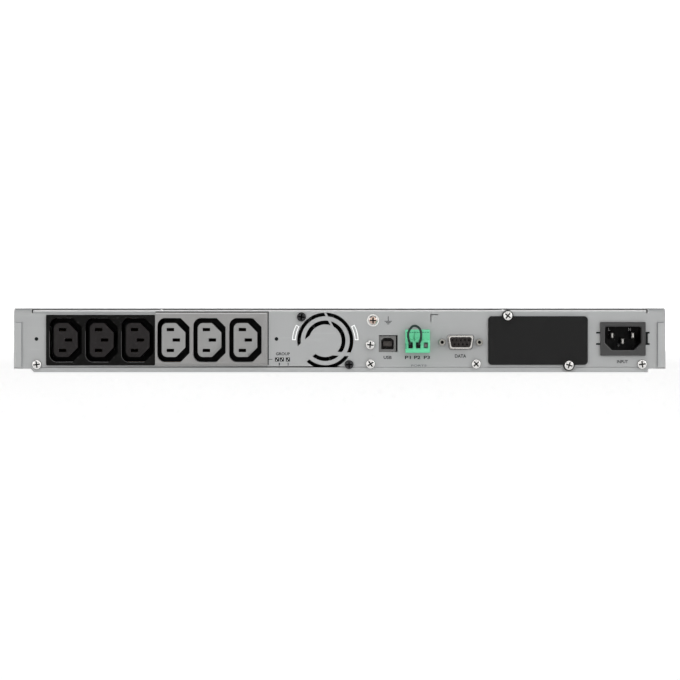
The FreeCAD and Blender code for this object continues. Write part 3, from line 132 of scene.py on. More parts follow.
class Finish:
    """A material being built round one Principled shader."""

    def __init__(self, name, **constants):
        self.material = bpy.data.materials.new(name)
        self.material.use_nodes = True
        self.nodes = self.material.node_tree.nodes
        self.links = self.material.node_tree.links
        self.nodes.clear()
        self.out = self.nodes.new("ShaderNodeOutputMaterial")
        self.shader = self.nodes.new("ShaderNodeBsdfPrincipled")
        self.links.new(self.shader.outputs[0], self.out.inputs[0])
        for key, value in constants.items():
            self.shader.inputs[key.replace("_", " ")].default_value = value
        self.place = self.add("ShaderNodeTexCoord", output="Object")

    def add(self, kind, settings=None, inputs=None, output=0):
        """Any node: its settings are made first, then its sockets get their values or links."""
        node = self.nodes.new(kind)
        for key, value in (settings or {}).items():
            setattr(node, key, value)
        for key, value in (inputs or {}).items():
            self._fill(node.inputs[key], value)
        return Socket(self, node.outputs[output])

    def _fill(self, socket, value):
        if isinstance(value, Socket):
            self.links.new(value.output, socket)
        else:
            socket.default_value = value

    def feed(self, **sockets):
        """Links or values for the shader's own sockets, by name with _ for a space."""
        for key, value in sockets.items():
            self._fill(self.shader.inputs[key.replace("_", " ")], value)
        return self

    def noise(self, scale, detail=2.0, stretch=(1, 1, 1), rough=0.5):
        """Soft noise from 0 to 1, scale features to the metre."""
        at = self.add("ShaderNodeMapping", {}, {"Vector": self.place, "Scale": stretch})
        inputs = {"Vector": at, "Scale": scale, "Detail": detail, "Roughness": rough}
        return self.add("ShaderNodeTexNoise", {}, inputs)

    def axis(self, name):
        """One coordinate of the object's own space, in metres."""
        return self.add("ShaderNodeSeparateXYZ", {}, {0: self.place}, name)

    def reach(self, middle):
        """Distance in metres from a line that runs along Y through (x, z)."""
        return ((self.axis("X") - middle[0]) ** 2 + (self.axis("Z") - middle[1]) ** 2) ** 0.5

    def fold(self, along, half):
        """A length folded back and forth between 0 and half."""
        return self.add("ShaderNodeMath", {"operation": "PINGPONG"}, {0: along, 1: half})

    def cells(self, scale):
        """Distance from the middle of the nearest of many scattered cells."""
        return self.add("ShaderNodeTexVoronoi", {}, {"Vector": self.place, "Scale": scale}, "Distance")

    def mix(self, factor, first, second):
        """A colour that turns from first to second."""
        first, second = ((*c, 1) if isinstance(c, tuple) else c for c in (first, second))
        settings = {"data_type": "RGBA"}
        return self.add("ShaderNodeMix", settings, {0: factor, 6: first, 7: second}, 2)

    def bump(self, height, depth, strength=1.0):
        """Relief of a depth in metres."""
        inputs = {"Height": height, "Distance": depth, "Strength": strength}
        return self.add("ShaderNodeBump", {}, inputs)


def shade(colour, gain):
    """A colour made lighter or darker."""
    return tuple(min(1.0, c * gain) for c in colour)


def srgb(r, g, b):
    """A linear colour from the 0 to 255 values of a display."""
    return tuple((c / 255) ** 2.2 for c in (r, g, b))


# ---------------------------------------------------------------- finishes
def plated_sheet(name, colour, rough=0.42, metal=0.3, painted_highlight_above=None):
    """Passivated steel sheet: rolled grain, cloudy tone, faint rubs, and a painted highlight along the fold
    above a height.
    """
    f = Finish(name, Metallic=metal)
    cloud = f.noise(14.0, 4.0)
    grain = f.noise(1500.0, 2.0, (1, 1, 0.35))
    speck = f.noise(4200.0, 1.0)
    rub = f.noise(60.0, 6.0, (0.2, 0.2, 3.0), 0.7).above(0.62, 0.08)
    tone = cloud * 0.10 + grain * 0.16 + speck * 0.10 + 0.32
    base = f.mix(tone.clamp(), shade(colour, 0.80), shade(colour, 1.16))
    wear_and_painted_highlight = f.mix(rub * 0.25, base, shade(colour, 1.25))
    # painted highlight: above the given height the fold's light off the overhead lamp is painted near-white
    if painted_highlight_above is not None:
        wear_and_painted_highlight = f.mix(f.axis("Z").above(painted_highlight_above, 0.3 * MM) * 0.85, wear_and_painted_highlight, (0.95, 0.95, 0.94))
    relief = grain * 0.6 + speck * 0.4
    return f.feed(
        Base_Color=wear_and_painted_highlight,
        Roughness=(cloud * 0.12 + grain * 0.14 + rough - 0.12).clamp(),
        Normal=f.bump(relief, 1.2e-5, 0.55),
    ).material


def moulded(name, colour, rough=0.5, texture=1.0, gloss=0.22, dark_past=None, core=None):
    """Spark-eroded plastic: tight pebble relief with slight bloom.

    dark_past is how deep along Y light reaches; core is the tone of an outlet's middle.
    """
    f = Finish(name, Specular_IOR_Level=gloss)
    pebble = f.noise(2600.0, 2.0)
    coarse = f.noise(900.0, 1.0)
    bloom = f.noise(35.0, 3.0)
    mark = f.noise(220.0, 5.0, (1, 1, 0.15), 0.65).above(0.66, 0.06)
    tone = (pebble * 0.35 + bloom * 0.45 + 0.1).clamp()
    base = f.mix(tone, shade(colour, 0.82), shade(colour, 1.2))
    base = f.mix(mark * 0.18, base, shade(colour, 1.5))
    if core is not None:
        shift = f.axis("X") - (FIRST_OUTLET_X - OUTLET_PITCH) * MM
        aside = f.fold(shift, OUTLET_PITCH / 2 * MM)
        off_middle = abs(f.axis("Z") - OUTLET_Z * MM)
        wide, high = (1 - away.above(half, 0.6 * MM) for away, half in zip((aside, off_middle), OUTLET_CORE))
        inside = wide * high
        base = f.mix(inside, base, f.mix(tone, shade(core, 0.85), shade(core, 1.15)))
    if dark_past is not None:
        base = f.mix(f.axis("Y").above(dark_past, 1.2 * MM), base, UNLIT)
    return f.feed(
        Base_Color=base,
        Roughness=(pebble * 0.16 + bloom * 0.1 - mark * 0.08 + rough - 0.12).clamp(0.05),
        Normal=f.bump(pebble * 0.6 + coarse * 0.4, 2.2e-5 * texture, 0.6),
    ).material


def plated_metal(name, colour, rough=0.22, grain=0.5, dark_past=None, plug=None):
    """Bright plating: turning marks, patchy tarnish, painted shade in the recesses past a depth, and a tinted
    middle.
    """
    f = Finish(name, Metallic=1.0)
    turn = f.noise(5200.0, 2.0, (1, 0.2, 1))
    tarnish = f.noise(700.0, 3.0)
    base = f.mix((tarnish * 0.7 + turn * 0.3).clamp(), shade(colour, 0.72), colour)
    shaded = 1.0
    if plug is not None:
        middle, radius, tint = plug
        outside = f.reach(middle).above(radius, 0.4 * MM)
        base = f.mix(outside, f.mix(tarnish, shade(tint, 0.7), tint), base)
        shaded = 1 - outside
    # painted shade: past dark_past the plating is painted nearly black, only inside the plug's radius where
    # one is given
    if dark_past is not None:
        base = f.mix(f.axis("Y").above(dark_past, 0.5 * MM) * shaded, base, shade(colour, 0.03))
    return f.feed(
        Base_Color=base,
        Roughness=(tarnish * 0.18 + turn * 0.12 + rough - 0.12).clamp(0.06),
        Normal=f.bump(turn, 6e-6, grain),
    ).material


def powder_coat(name, colour, rough=0.55):
    """Powder-coated sheet: orange-peel relief and dusty variation."""
    f = Finish(name, Specular_IOR_Level=0.2)
    peel = f.noise(1300.0, 2.0)
    fine = f.noise(4000.0, 2.0)
    dust = f.noise(45.0, 5.0, rough=0.65)
    base = f.mix((dust * 0.6 + fine * 0.4).clamp(), shade(colour, 0.8), shade(colour, 1.3))
    return f.feed(
        Base_Color=base,
        Roughness=(dust * 0.2 + peel * 0.12 + rough - 0.16).clamp(),
        Normal=f.bump(peel * 0.7 + fine * 0.3, 3e-5, 0.6),
    ).material


def solder_mask(name, colour):
    """Circuit board: glossy lacquer over faint tracks and pads."""
    f = Finish(name, Coat_Weight=0.6, Coat_Roughness=0.15)
    x, y = f.axis("X"), f.axis("Y")
    lane, row = 1.6 * MM, 2.1 * MM
    lanes = f.fold(x + y * 0.5, lane) * (1 / lane)
    rows = f.fold(y, row) * (1 / row)
    gate = f.noise(120.0, 1.0).above(0.5, 0.03)
    track = (lanes.above(0.55, 0.1) * gate + rows.above(0.6, 0.1) * (1 - gate)).clamp()
    pads = 1 - f.cells(260.0).above(0.25, 0.05)
    base = f.mix(track * 0.55, colour, shade(colour, 1.7))
    base = f.mix(pads * 0.7, base, (0.62, 0.58, 0.5))
    relief = f.bump(track * 0.5 + pads, 3e-5, 0.5)
    return f.feed(Base_Color=base, Roughness=pads * 0.1 + 0.32, Normal=relief).material


def winding_copper(name):
    """Enamelled wire laid side by side."""
    f = Finish(name, Coat_Weight=0.5, Coat_Roughness=0.2)
    strand = 0.6 * MM
    lay = f.fold(f.axis("X") + f.axis("Y"), strand) * (1 / strand)
    tone = (lay * 0.5 + f.noise(300.0, 3.0) * 0.5).clamp()
    base = f.mix(tone, (0.16, 0.045, 0.012), (0.62, 0.24, 0.07))
    return f.feed(Base_Color=base, Metallic=0.7, Roughness=0.35, Normal=f.bump(lay, 1.5e-4, 0.7)).material


def laminations(name):
    """A stack of stamped core plates."""
    f = Finish(name, Metallic=0.5)
    plate = 0.35 * MM
    layers = f.fold(f.axis("Z"), plate) * (1 / plate)
    rust = f.noise(90.0, 5.0).above(0.6, 0.15)
    base = f.mix(layers, (0.06, 0.06, 0.065), (0.2, 0.2, 0.21))
    base = f.mix(rust * 0.35, base, (0.16, 0.08, 0.04))
    return f.feed(Base_Color=base, Roughness=rust * 0.2 + 0.45, Normal=f.bump(layers, 1e-4, 0.6)).material


def printed_ink(name, colour):
    """Screen-printed ink with slightly broken edges."""
    f = Finish(name, Specular_IOR_Level=0.3)
    body = f.noise(5000.0, 2.0)
    base = f.mix(body, shade(colour, 0.85), shade(colour, 1.2))
    return f.feed(Base_Color=base, Roughness=body * 0.2 + 0.55).material


def smoked_lens(name):
    """Dark clear plastic with finger smears."""
    f = Finish(name, Transmission_Weight=0.75, IOR=1.5, Coat_Weight=0.4)
    smear = f.noise(70.0, 5.0, (1, 1, 2.5))
    base = f.mix(smear, (0.05, 0.06, 0.075), (0.09, 0.1, 0.12))
    return f.feed(Base_Color=base, Roughness=smear.above(0.55, 0.2) * 0.12 + 0.04).material


def lit_screen(name):
    """Dim liquid crystal with its cell grid showing."""
    f = Finish(name)
    half = 0.18 * MM
    across, up = (f.fold(f.axis(way), half) * (1 / half) for way in "XZ")
    cell = across.above(0.15, 0.1) * up.above(0.15, 0.1)
    glow = f.mix(cell, (0.03, 0.06, 0.12), (0.12, 0.26, 0.42))
    rough = f.noise(40.0) * 0.1 + 0.3
    return f.feed(Base_Color=glow, Emission_Color=glow, Emission_Strength=0.35, Roughness=rough).material


def light_tip(name, colour):
    """Clear plastic lit from within."""
    f = Finish(name, Coat_Weight=0.8, Emission_Strength=0.8)
    core = f.noise(1200.0, 2.0)
    base = f.mix(core, shade(colour, 0.7), colour)
    return f.feed(Base_Color=base, Emission_Color=base, Roughness=core * 0.1 + 0.2).material


OUTLET_PITCH = 24.15  # this and the next two are in millimetres
FIRST_OUTLET_X = -184.0
OUTLET_Z = 21.7
OUTLET_CORE = (8.6 * MM, 12.2 * MM)  # half the width and height that each outlet's middle takes
EARTH_PLUG = ((22.4 * MM, 34.9 * MM), 2.5 * MM, (0.62, 0.47, 0.40))  # middle, radius and tint
PANEL_GREY = srgb(160, 161, 161)
ZINC = (0.86, 0.85, 0.83)
UNLIT = (0.0015, 0.0015, 0.0015)
DARK_CORE = srgb(40, 38, 38)
PALE_CORE = srgb(137, 137, 136)
FINISHES = {
    # the panel's top fold gets a painted highlight above 41.2 mm
    "panel": plated_sheet("panel_zinc", PANEL_GREY, painted_highlight_above=0.0412),
    "chassis": plated_sheet("chassis_zinc", shade(PANEL_GREY, 1.06)),
    "inner": plated_sheet("inner_zinc", srgb(150, 152, 152), 0.38, 0.7),
    "outlet_dark": moulded(
        "outlet_black_nylon", srgb(17, 17, 16), 0.5, gloss=0.1, dark_past=REAR + 1.5 * MM, core=DARK_CORE
    ),
    "outlet_pale": moulded(
        "outlet_grey_nylon", srgb(136, 135, 134), 0.55, dark_past=REAR - 0.6 * MM, core=PALE_CORE
    ),
    "screw": plated_metal("screw_bright_zinc", ZINC, 0.2),
    "panel_screw": plated_metal("panel_screw_zinc", ZINC, 0.2, dark_past=REAR - 1.1 * MM),
    "slot_screw": plated_metal("slot_screw_zinc", ZINC, 0.2, dark_past=REAR - 3.0 * MM),
    "screw_dark": plated_metal("screw_black_oxide", (0.05, 0.05, 0.052), 0.2, dark_past=REAR - 1.1 * MM),
    "earth": plated_metal(
        "earth_screw_plating", (0.8, 0.79, 0.77), 0.24, dark_past=REAR - 2.0 * MM, plug=EARTH_PLUG
    ),
    # the contacts' brass is painted nearly black as painted shade, deep inside the outlets and the battery
    # bay
    "brass": plated_metal("contact_brass", (0.020, 0.014, 0.006), 0.6),
    "nickel": plated_metal("port_nickel", (0.66, 0.64, 0.61), 0.24),
    "pin": plated_metal("inlet_pin_nickel", (0.56, 0.55, 0.52), 0.24, dark_past=REAR + 2.4 * MM),
    "jack": plated_metal("jack_post_plating", (0.36, 0.35, 0.32), 0.26, dark_past=REAR - 4.0 * MM),
    "can": plated_metal("port_can", (0.19, 0.19, 0.186), 0.34),
    "inlet": moulded("inlet_black_nylon", srgb(66, 66, 66), 0.45, gloss=0.15, dark_past=REAR + 2.0 * MM),
    "deep": moulded("fan_black_plastic", (0.006, 0.006, 0.006), 0.6, gloss=0.1),
    "usb": moulded("usb_black_insert", srgb(62, 58, 56), 0.4),
    "serial": moulded("serial_black_insert", srgb(40, 36, 35), 0.45),
    "mint": moulded("terminal_mint", srgb(102, 196, 150), 0.42, 0.6, 0.2),
    "mint_line": moulded("terminal_shade_line", srgb(58, 120, 96), 0.5, 0.6, 0.1),
    # painted highlight for moulded rims and lips that catch light
    "wear_and_painted_highlight": moulded("rim_catching_light", srgb(88, 88, 88), 0.4, 0.4, 0.3),
    # painted highlight for bevels and moulded letters that catch light
    "bevel": moulded("grey_bevel_catching_light", srgb(196, 196, 196), 0.4, 0.4, 0.3),
    "gap": moulded("unlit_gap", (0.012, 0.014, 0.014), 0.7, 0.4, 0.05),
    "cover": powder_coat("slot_cover_black", srgb(22, 22, 22)),
    "board": solder_mask("board_green", (0.012, 0.09, 0.035)),
    "fins": plated_metal("sink_aluminium", (0.66, 0.67, 0.68), 0.36),
    "parts_black": moulded("component_black", (0.016, 0.016, 0.018), 0.35, 0.5, 0.35),
    "winding": winding_copper("winding_copper"),
    "core": laminations("core_laminations"),
    "battery": moulded("battery_case", (0.028, 0.029, 0.032), 0.5, 1.4, 0.3),
    "runner": moulded("runner_white", (0.66, 0.66, 0.62), 0.45, 0.5, 0.4),
    "bezel": moulded("bezel_black", (0.017, 0.017, 0.019), 0.48, 1.5, 0.35),
    "key": moulded("key_cap", (0.05, 0.051, 0.055), 0.38, 0.5, 0.4),
    "lens": smoked_lens("display_smoked_lens"),
    "screen": lit_screen("display_screen"),
    "foam": moulded("filter_foam", (0.006, 0.006, 0.007), 0.9, 3.0, 0.05),
    "glyph": light_tip("screen_glyphs", (0.35, 0.75, 1.0)),
    "light": light_tip("status_light_green", (0.1, 0.75, 0.25)),
    "wire": moulded("wire_sleeve", srgb(30, 48, 43), 0.4, 0.4, 0.3),
    "dark_ink_and_shade": printed_ink("dark_ink_and_shade", srgb(36, 38, 39)),
    "faint_ink_and_shade": printed_ink("faint_ink_and_shade", srgb(104, 106, 108)),
    "ink_white": printed_ink("ink_white", (0.9, 0.91, 0.9)),
}


# ---------------------------------------------------------------- pieces
CREASE = 32.0  # the angles past which an edge stays sharp: marks, screws and rounded parts
SCREW_CREASE = 38.0
ROUNDED_CREASE = 40.0


def mesh_of(bm, name):
    """The mesh that a bmesh holds; the bmesh is freed."""
    mesh = bpy.data.meshes.new(name)
    bm.to_mesh(mesh)
    bm.free()
    return mesh


def even_shading(mesh, angle):
    """Smooth shading with edges past an angle in degrees kept sharp."""
    mesh.shade_smooth()
    mesh.set_sharp_from_angle(angle=math.radians(angle))


def link(name, mesh, finish, body):
    """A finished mesh as a piece that rides on a body."""
    obj = placed(name, mesh)
    mesh.materials.clear()
    mesh.materials.append(FINISHES[finish])
    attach(obj, body)
    return obj


def closed(bm, name, finish, body):
    """The piece that a bmesh of closed shells holds, its faces turned outward."""
    bmesh.ops.recalc_face_normals(bm, faces=bm.faces)
    mesh = mesh_of(bm, name + "_shape")
    even_shading(mesh, CREASE)
    link(name, mesh, finish, body)


def welded(node):
    """A clean copy of a CAD node's surface, its flat faces whole again."""
    bm = bmesh.new()
    bm.from_mesh(frame["nodes"][node].data)
    bmesh.ops.remove_doubles(bm, verts=bm.verts, dist=2e-6)
    bmesh.ops.dissolve_limit(bm, angle_limit=math.radians(0.6), verts=bm.verts, edges=bm.edges)
    return bm


def rounded(node, edge, careful):
    """A welded copy with its sharp rims rounded, leaving rims that end in very short edges alone."""
    bm = welded(node)
    tight = {v for e in bm.edges if e.calc_length() < 1.6 * edge for v in e.verts}
    sharp = []
    for rim in bm.edges:
        if len(rim.link_faces) == 2 and not tight.intersection(rim.verts):
            if rim.calc_face_angle(0) > math.radians(35):
                sharp.append(rim)
    bmesh.ops.bevel(
        bm,
        geom=sharp,
        offset=edge,
        offset_type="OFFSET",
        segments=2,
        profile=0.5,
        affect="EDGES",
        clamp_overlap=careful,
        harden_normals=False,
    )
    return bm


def strays(bm, box, room=0.02 * MM):
    """Whether any corner left the box."""
    low, high = box
    return any(v.co[i] < low[i] - room or v.co[i] > high[i] + room for v in bm.verts for i in range(3))


def softened(node, finish, edge):
    """A CAD node's copy in the node's place, its rims rounded, more carefully where a corner would stray."""
    bm = rounded(node, edge, False)
    if strays(bm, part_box(node)):
        bm.free()
        bm = rounded(node, edge, True)
    mesh = mesh_of(bm, node + "_shape")
    even_shading(mesh, ROUNDED_CREASE)
    obj = link(node + "_body", mesh, finish, frame["nodes"][node]["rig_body"])
    obj.modifiers.new("even_faces", "WEIGHTED_NORMAL").keep_sharp = True
    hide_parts(node)


PLAIN = {
    "bay_side_wall": "inner", "bay_back_wall": "inner", "tray_runners": "runner", "outlet_contacts": "brass",
    "inlet_filter": "inner", "fan_stator": "deep", "slot_connector": "parts_black", "main_board": "board",
    "comms_board": "board", "display_board": "board", "board_standoffs": "screw", "heat_sinks": "fins",
    "switching_parts": "parts_black", "bulk_capacitors": "parts_black", "output_inductor": "winding",
    "transformer_core": "core", "transformer_winding": "winding", "battery_blocks": "battery",
    "battery_terminals": "brass", "battery_socket": "parts_black", "battery_plug": "parts_black",
    "terminal_screws": "screw", "fan_rotor": "deep", "serial_insert": "serial", "usb_insert": "usb",
    "display_module": "screen", "status_lights": "light", "display_lens": "lens", "cover_screws": "screw",
    "earth_screw": "earth", "serial_jackscrews": "jack", "inlet_pins": "pin", "terminal_header": "mint",
    "fan_frame": "deep", "slot_cage": "inner",
}
for node, finish in PLAIN.items():
    mesh = frame["nodes"][node].data
    mesh.materials.clear()
    mesh.materials.append(FINISHES[finish])

SOFTENED = {
    "chassis_tray": ("chassis", 0.12), "rear_panel": ("panel", 0.12), "top_cover": ("chassis", 0.1),
    "outlet_block_dark": ("outlet_dark", 0.2), "outlet_block_pale": ("outlet_pale", 0.2),
    "inlet_housing": ("inlet", 0.15), "usb_shell": ("can", 0.12), "terminal_plug": ("mint", 0.12),
    "serial_shell": ("nickel", 0.15), "slot_cover": ("cover", 0.15), "front_bezel": ("bezel", 0.2),
    "door_surround": ("bezel", 0.2), "battery_door": ("bezel", 0.2), "door_grip": ("bezel", 0.2),
    "battery_tray": ("inner", 0.1), "tray_pull": ("parts_black", 0.4), "power_button": ("key", 0.1),
    "nav_button_1": ("key", 0.1), "nav_button_2": ("key", 0.1), "nav_button_3": ("key", 0.1),
    "nav_button_4": ("key", 0.1),
}
for node, (finish, edge) in SOFTENED.items():
    softened(node, finish, edge * MM)


# ---------------------------------------------------------------- screws
PAN_HEAD = ((0.99, 0.5), (0.97, 0.72), (0.92, 0.88), (0.86, 0.96), (0.78, 1))  # shares of radius and rise
CROSS = (2.25, 0.5, 1.4)  # the recess's reach, half its arms' width and its depth, in millimetres


def turned(bm, profile, steps, place):
    """A turned shape closed at its first ring; place makes a point from radius, height and angle."""
    turn = [2 * math.pi * i / steps for i in range(steps)]
    rings = [[bm.verts.new(place(radius, height, a)) for a in turn] for radius, height in profile]
    bm.faces.new(rings[0])
    for low, high in zip(rings, rings[1:]):
        for i in range(steps):
            bm.faces.new((low[i - 1], low[i], high[i], high[i - 1]))


def round_y(radius, y, a):
    """A point in metres on a ring round the Y axis, from millimetres."""
    return (radius * math.cos(a) * MM, y * MM, radius * math.sin(a) * MM)


def screw_shape(head_r, rise, shank_r, length):
    """A pan head with a tapered cross recess, its seat at Y = 0 and its shank along +Y; millimetres."""
    bm = bmesh.new()
    profile = [(shank_r * 0.7, length), (shank_r, length - 0.5), (shank_r, 0), (head_r, 0)]
    profile += [(head_r * across, -rise * up) for across, up in PAN_HEAD]
    turned(bm, profile, 28, round_y)
    reach, half, deep = CROSS
    arm = [(reach, -half), (reach, half), (half, half)]
    outline = list(arm)
    for _ in range(3):
        arm = [(-z, x) for x, z in arm]
        outline += arm
    walls = []
    for taper, y in ((1.0, -rise), (0.62, deep - rise)):
        walls.append([bm.verts.new((x * taper * MM, y * MM, z * taper * MM)) for x, z in outline])
    count = len(outline)
    for i in range(count):
        bm.faces.new((walls[0][i - 1], walls[0][i], walls[1][i], walls[1][i - 1]))
    bm.faces.new(walls[1])
    bm.edges.ensure_lookup_table()
    open_edges = [e for e in bm.edges if len(e.link_faces) == 1]
    bmesh.ops.triangle_fill(bm, use_beauty=True, edges=open_edges, normal=(0, -1, 0))
    bmesh.ops.recalc_face_normals(bm, faces=bm.faces)
    mesh = mesh_of(bm, "screw_shape")
    even_shading(mesh, SCREW_CREASE)
    return mesh


def screw_set_nodes():
    """A node group that sets one screw on every vertex it is given, each turned its own way."""
    group = bpy.data.node_groups.new("screw_set", "GeometryNodeTree")
    sockets = (
        ("Places", "INPUT", "NodeSocketGeometry"),
        ("Screw", "INPUT", "NodeSocketObject"),
        ("Finish", "INPUT", "NodeSocketMaterial"),
        ("Turn seed", "INPUT", "NodeSocketInt"),
        ("Screws", "OUTPUT", "NodeSocketGeometry"),
    )
    for name, way, kind in sockets:
        group.interface.new_socket(name, in_out=way, socket_type=kind)
    nodes, links = group.nodes, group.links
    given, made = nodes.new("NodeGroupInput"), nodes.new("NodeGroupOutput")
    points, screw = nodes.new("GeometryNodeMeshToPoints"), nodes.new("GeometryNodeObjectInfo")
    turn, setting = nodes.new("FunctionNodeRandomValue"), nodes.new("GeometryNodeInstanceOnPoints")
    real, coat = nodes.new("GeometryNodeRealizeInstances"), nodes.new("GeometryNodeSetMaterial")
    turn.data_type = "FLOAT_VECTOR"
    turn.inputs["Min"].default_value = (0, 0, 0)
    turn.inputs["Max"].default_value = (0, math.pi / 2, 0)
    screw.inputs["As Instance"].default_value = True
    links.new(given.outputs["Places"], points.inputs["Mesh"])
    links.new(given.outputs["Screw"], screw.inputs["Object"])
    links.new(given.outputs["Turn seed"], turn.inputs["Seed"])
    links.new(points.outputs["Points"], setting.inputs["Points"])
    links.new(screw.outputs["Geometry"], setting.inputs["Instance"])
    links.new(turn.outputs["Value"], setting.inputs["Rotation"])
    links.new(setting.outputs["Instances"], real.inputs["Geometry"])
    links.new(real.outputs["Geometry"], coat.inputs["Geometry"])
    links.new(given.outputs["Finish"], coat.inputs["Material"])
    links.new(coat.outputs["Geometry"], made.inputs["Screws"])
    return group


def set_screws(node, shape, places, finish, seed):
    """The screws of one CAD node, laid out by the node group and kept as one mesh."""
    spots = bpy.data.meshes.new(node + "_places")
    spots.from_pydata(places, [], [])
    pattern, holder = placed(node + "_pattern", shape), placed(node + "_holder", spots)
    modifier = holder.modifiers.new("screws", "NODES")
    modifier.node_group = SCREW_SET
    wanted = {"Screw": pattern, "Finish": FINISHES[finish], "Turn seed": seed}
    for item in SCREW_SET.interface.items_tree:
        if item.name in wanted:
            modifier[item.identifier] = wanted[item.name]
    holder.update_tag()
    graph = bpy.context.evaluated_depsgraph_get()
    mesh = bpy.data.meshes.new_from_object(holder.evaluated_get(graph), depsgraph=graph)
    holder.modifiers.remove(modifier)
    for obj in (holder, pattern):
        bpy.data.objects.remove(obj)
    even_shading(mesh, SCREW_CREASE)
    obj = link(node + "_set", mesh, finish, frame["nodes"][node]["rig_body"])
    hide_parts(node)


def on_panel(places, y=REAR):
    """Points in metres on a face at y, from (x, z) in millimetres."""
    return [(x * MM, y, z * MM) for x, z in places]


FAN = (-9.7, 21.2)  # places on the panel are (x, z) in millimetres
FAN_REACH = 16.0  # from the fan's middle to a screw, along X and Z
PANEL_SCREWS = ((-203.5, 5.2), (20.5, 18.4), (20.7, 5.6), (91.7, 5.6), (203.1, 5.4))
SLOT_SCREWS = ((112.8, 37.9), (153.9, 4.8))
FAN_SCREWS = ((FAN[0] - FAN_REACH, FAN[1] + FAN_REACH), (FAN[0] + FAN_REACH, FAN[1] - FAN_REACH))
SLOT_FACE = REAR - 1.9 * MM

SCREW_SET = screw_set_nodes()
for node, size, places, finish, seed in (
    ("panel_screws", (3.2, 2.2, 1.5, 6.0), on_panel(PANEL_SCREWS), "panel_screw", 4),
    ("slot_cover_screws", (3.2, 2.2, 1.5, 7.5), on_panel(SLOT_SCREWS, SLOT_FACE), "slot_screw", 9),
    ("fan_screws", (3.1, 2.2, 1.9, 9.0), on_panel(FAN_SCREWS), "screw_dark", 2),
):
    set_screws(node, screw_shape(*size), places, finish, seed)


# ---------------------------------------------------------------- marks and small fittings
def prism(bm, outline, y):
    """A closed outline of (x, z) thickened from y[0] to y[1]; all in millimetres."""
    ends = [[bm.verts.new((x * MM, at * MM, z * MM)) for x, z in outline] for at in y]
    bm.faces.new(ends[0])
    bm.faces.new(list(reversed(ends[1])))
    for i in range(len(outline)):
        bm.faces.new((ends[0][i - 1], ends[1][i - 1], ends[1][i], ends[0][i]))


def bar(bm, x, z, y):
    """A rectangle from x[0] to x[1] and z[0] to z[1], thickened."""
    prism(bm, [(x[0], z[0]), (x[1], z[0]), (x[1], z[1]), (x[0], z[1])], y)


def stroke(bm, points, width, y, loop=False):
    """A line of even width along (x, z) points, mitred at each turn."""
    count = len(points)
    left, right = [], []
    for i, (x, z) in enumerate(points):
        before = points[i - 1] if loop or i else points[i]
        after = points[(i + 1) % count] if loop or i < count - 1 else points[i]
        ways = []
        for a, b in ((before, (x, z)), ((x, z), after)):
            size = math.hypot(b[0] - a[0], b[1] - a[1])
            if size:
                ways.append(((b[0] - a[0]) / size, (b[1] - a[1]) / size))
        across = Vector((-sum(w[1] for w in ways), sum(w[0] for w in ways))).normalized()
        fit = max(0.4, abs(across.x * -ways[0][1] + across.y * ways[0][0]))
        off = across * (width / 2 / fit)
        left.append((x + off.x, z + off.y))
        right.append((x - off.x, z - off.y))
    last = count if loop else count - 1
    rows = []
    for a, b in zip(left, right):
        rows.append([bm.verts.new((p[0] * MM, at * MM, p[1] * MM)) for at in y for p in (a, b)])
    for i in range(last):
        a, b = rows[i], rows[(i + 1) % count]
        for m, n in ((0, 1), (1, 3), (3, 2), (2, 0)):
            bm.faces.new((a[m], a[n], b[n], b[m]))
    if not loop:
        for end in (rows[0], rows[-1]):
            bm.faces.new((end[0], end[1], end[3], end[2]))


def arc(centre, radius, start, end, steps=24):
    """Points along an arc, angles in degrees."""
    turn = [math.radians(start + (end - start) * i / steps) for i in range(steps + 1)]
    return [(centre[0] + radius * math.cos(a), centre[1] + radius * math.sin(a)) for a in turn]


def circle(centre, radius):
    """Points round a small circle."""
    return arc(centre, radius, 0, 360, 20)[:-1]


def dot(bm, x, z, half, y):
    """A small square with its middle at x, z."""
    bar(bm, (x - half, x + half), (z - half, z + half), y)


def depth(*offsets):
    """Places along Y in millimetres, by how far each lies behind the connector panel's face."""
    return tuple(REAR_MM + offset for offset in offsets)


def word(bm, text, x, z, y):
    """Plain lettering fitted to the box x by z at y, and read from -Y; swapped x is read from +Y."""
    curve = bpy.data.curves.new("lettering", "FONT")
    curve.body = text
    curve.resolution_u = 3
    curve.offset = 0.025
    curve.extrude = 0.5
    obj = placed("lettering", curve)
    graph = bpy.context.evaluated_depsgraph_get()
    mesh = bpy.data.meshes.new_from_object(obj.evaluated_get(graph), depsgraph=graph)
    bpy.data.objects.remove(obj)
    spans = []
    for i in range(3):
        reach = [vertex.co[i] for vertex in mesh.vertices]
        spans.append((min(reach), max(reach)))
    for vertex in mesh.vertices:
        u, v, w = ((vertex.co[i] - low) / (high - low) for i, (low, high) in enumerate(spans))
        spot = (x[0] + u * (x[1] - x[0]), y[0] + (1 - w) * (y[1] - y[0]), z[0] + v * (z[1] - z[0]))
        vertex.co = Vector(spot) * MM
    bm.from_mesh(mesh)
    bpy.data.meshes.remove(mesh)


REAR_MM = REAR / MM
FRONT_MM = FRONT / MM
PRINT_AND_SHADE_LAYER = depth(-0.05, 0.03)  # a thin layer on the panel, for print and painted shade
CLIP_HOLES = ((-203.8, 22.4), (-42.5, 22.4))
GROUP_ICONS = (-42.1, -38.9, -34.8)
EARTH_MARK = (32.6, 34.3)
SERIAL_X = 81.2
WAY_PITCH = 5.08
WAYS = [52.5 + WAY_PITCH * i for i in (-1, 0, 1)]  # the terminal's three wire entries
TAB_X = 213.6  # where each side tab begins
TAB_END = 217.7


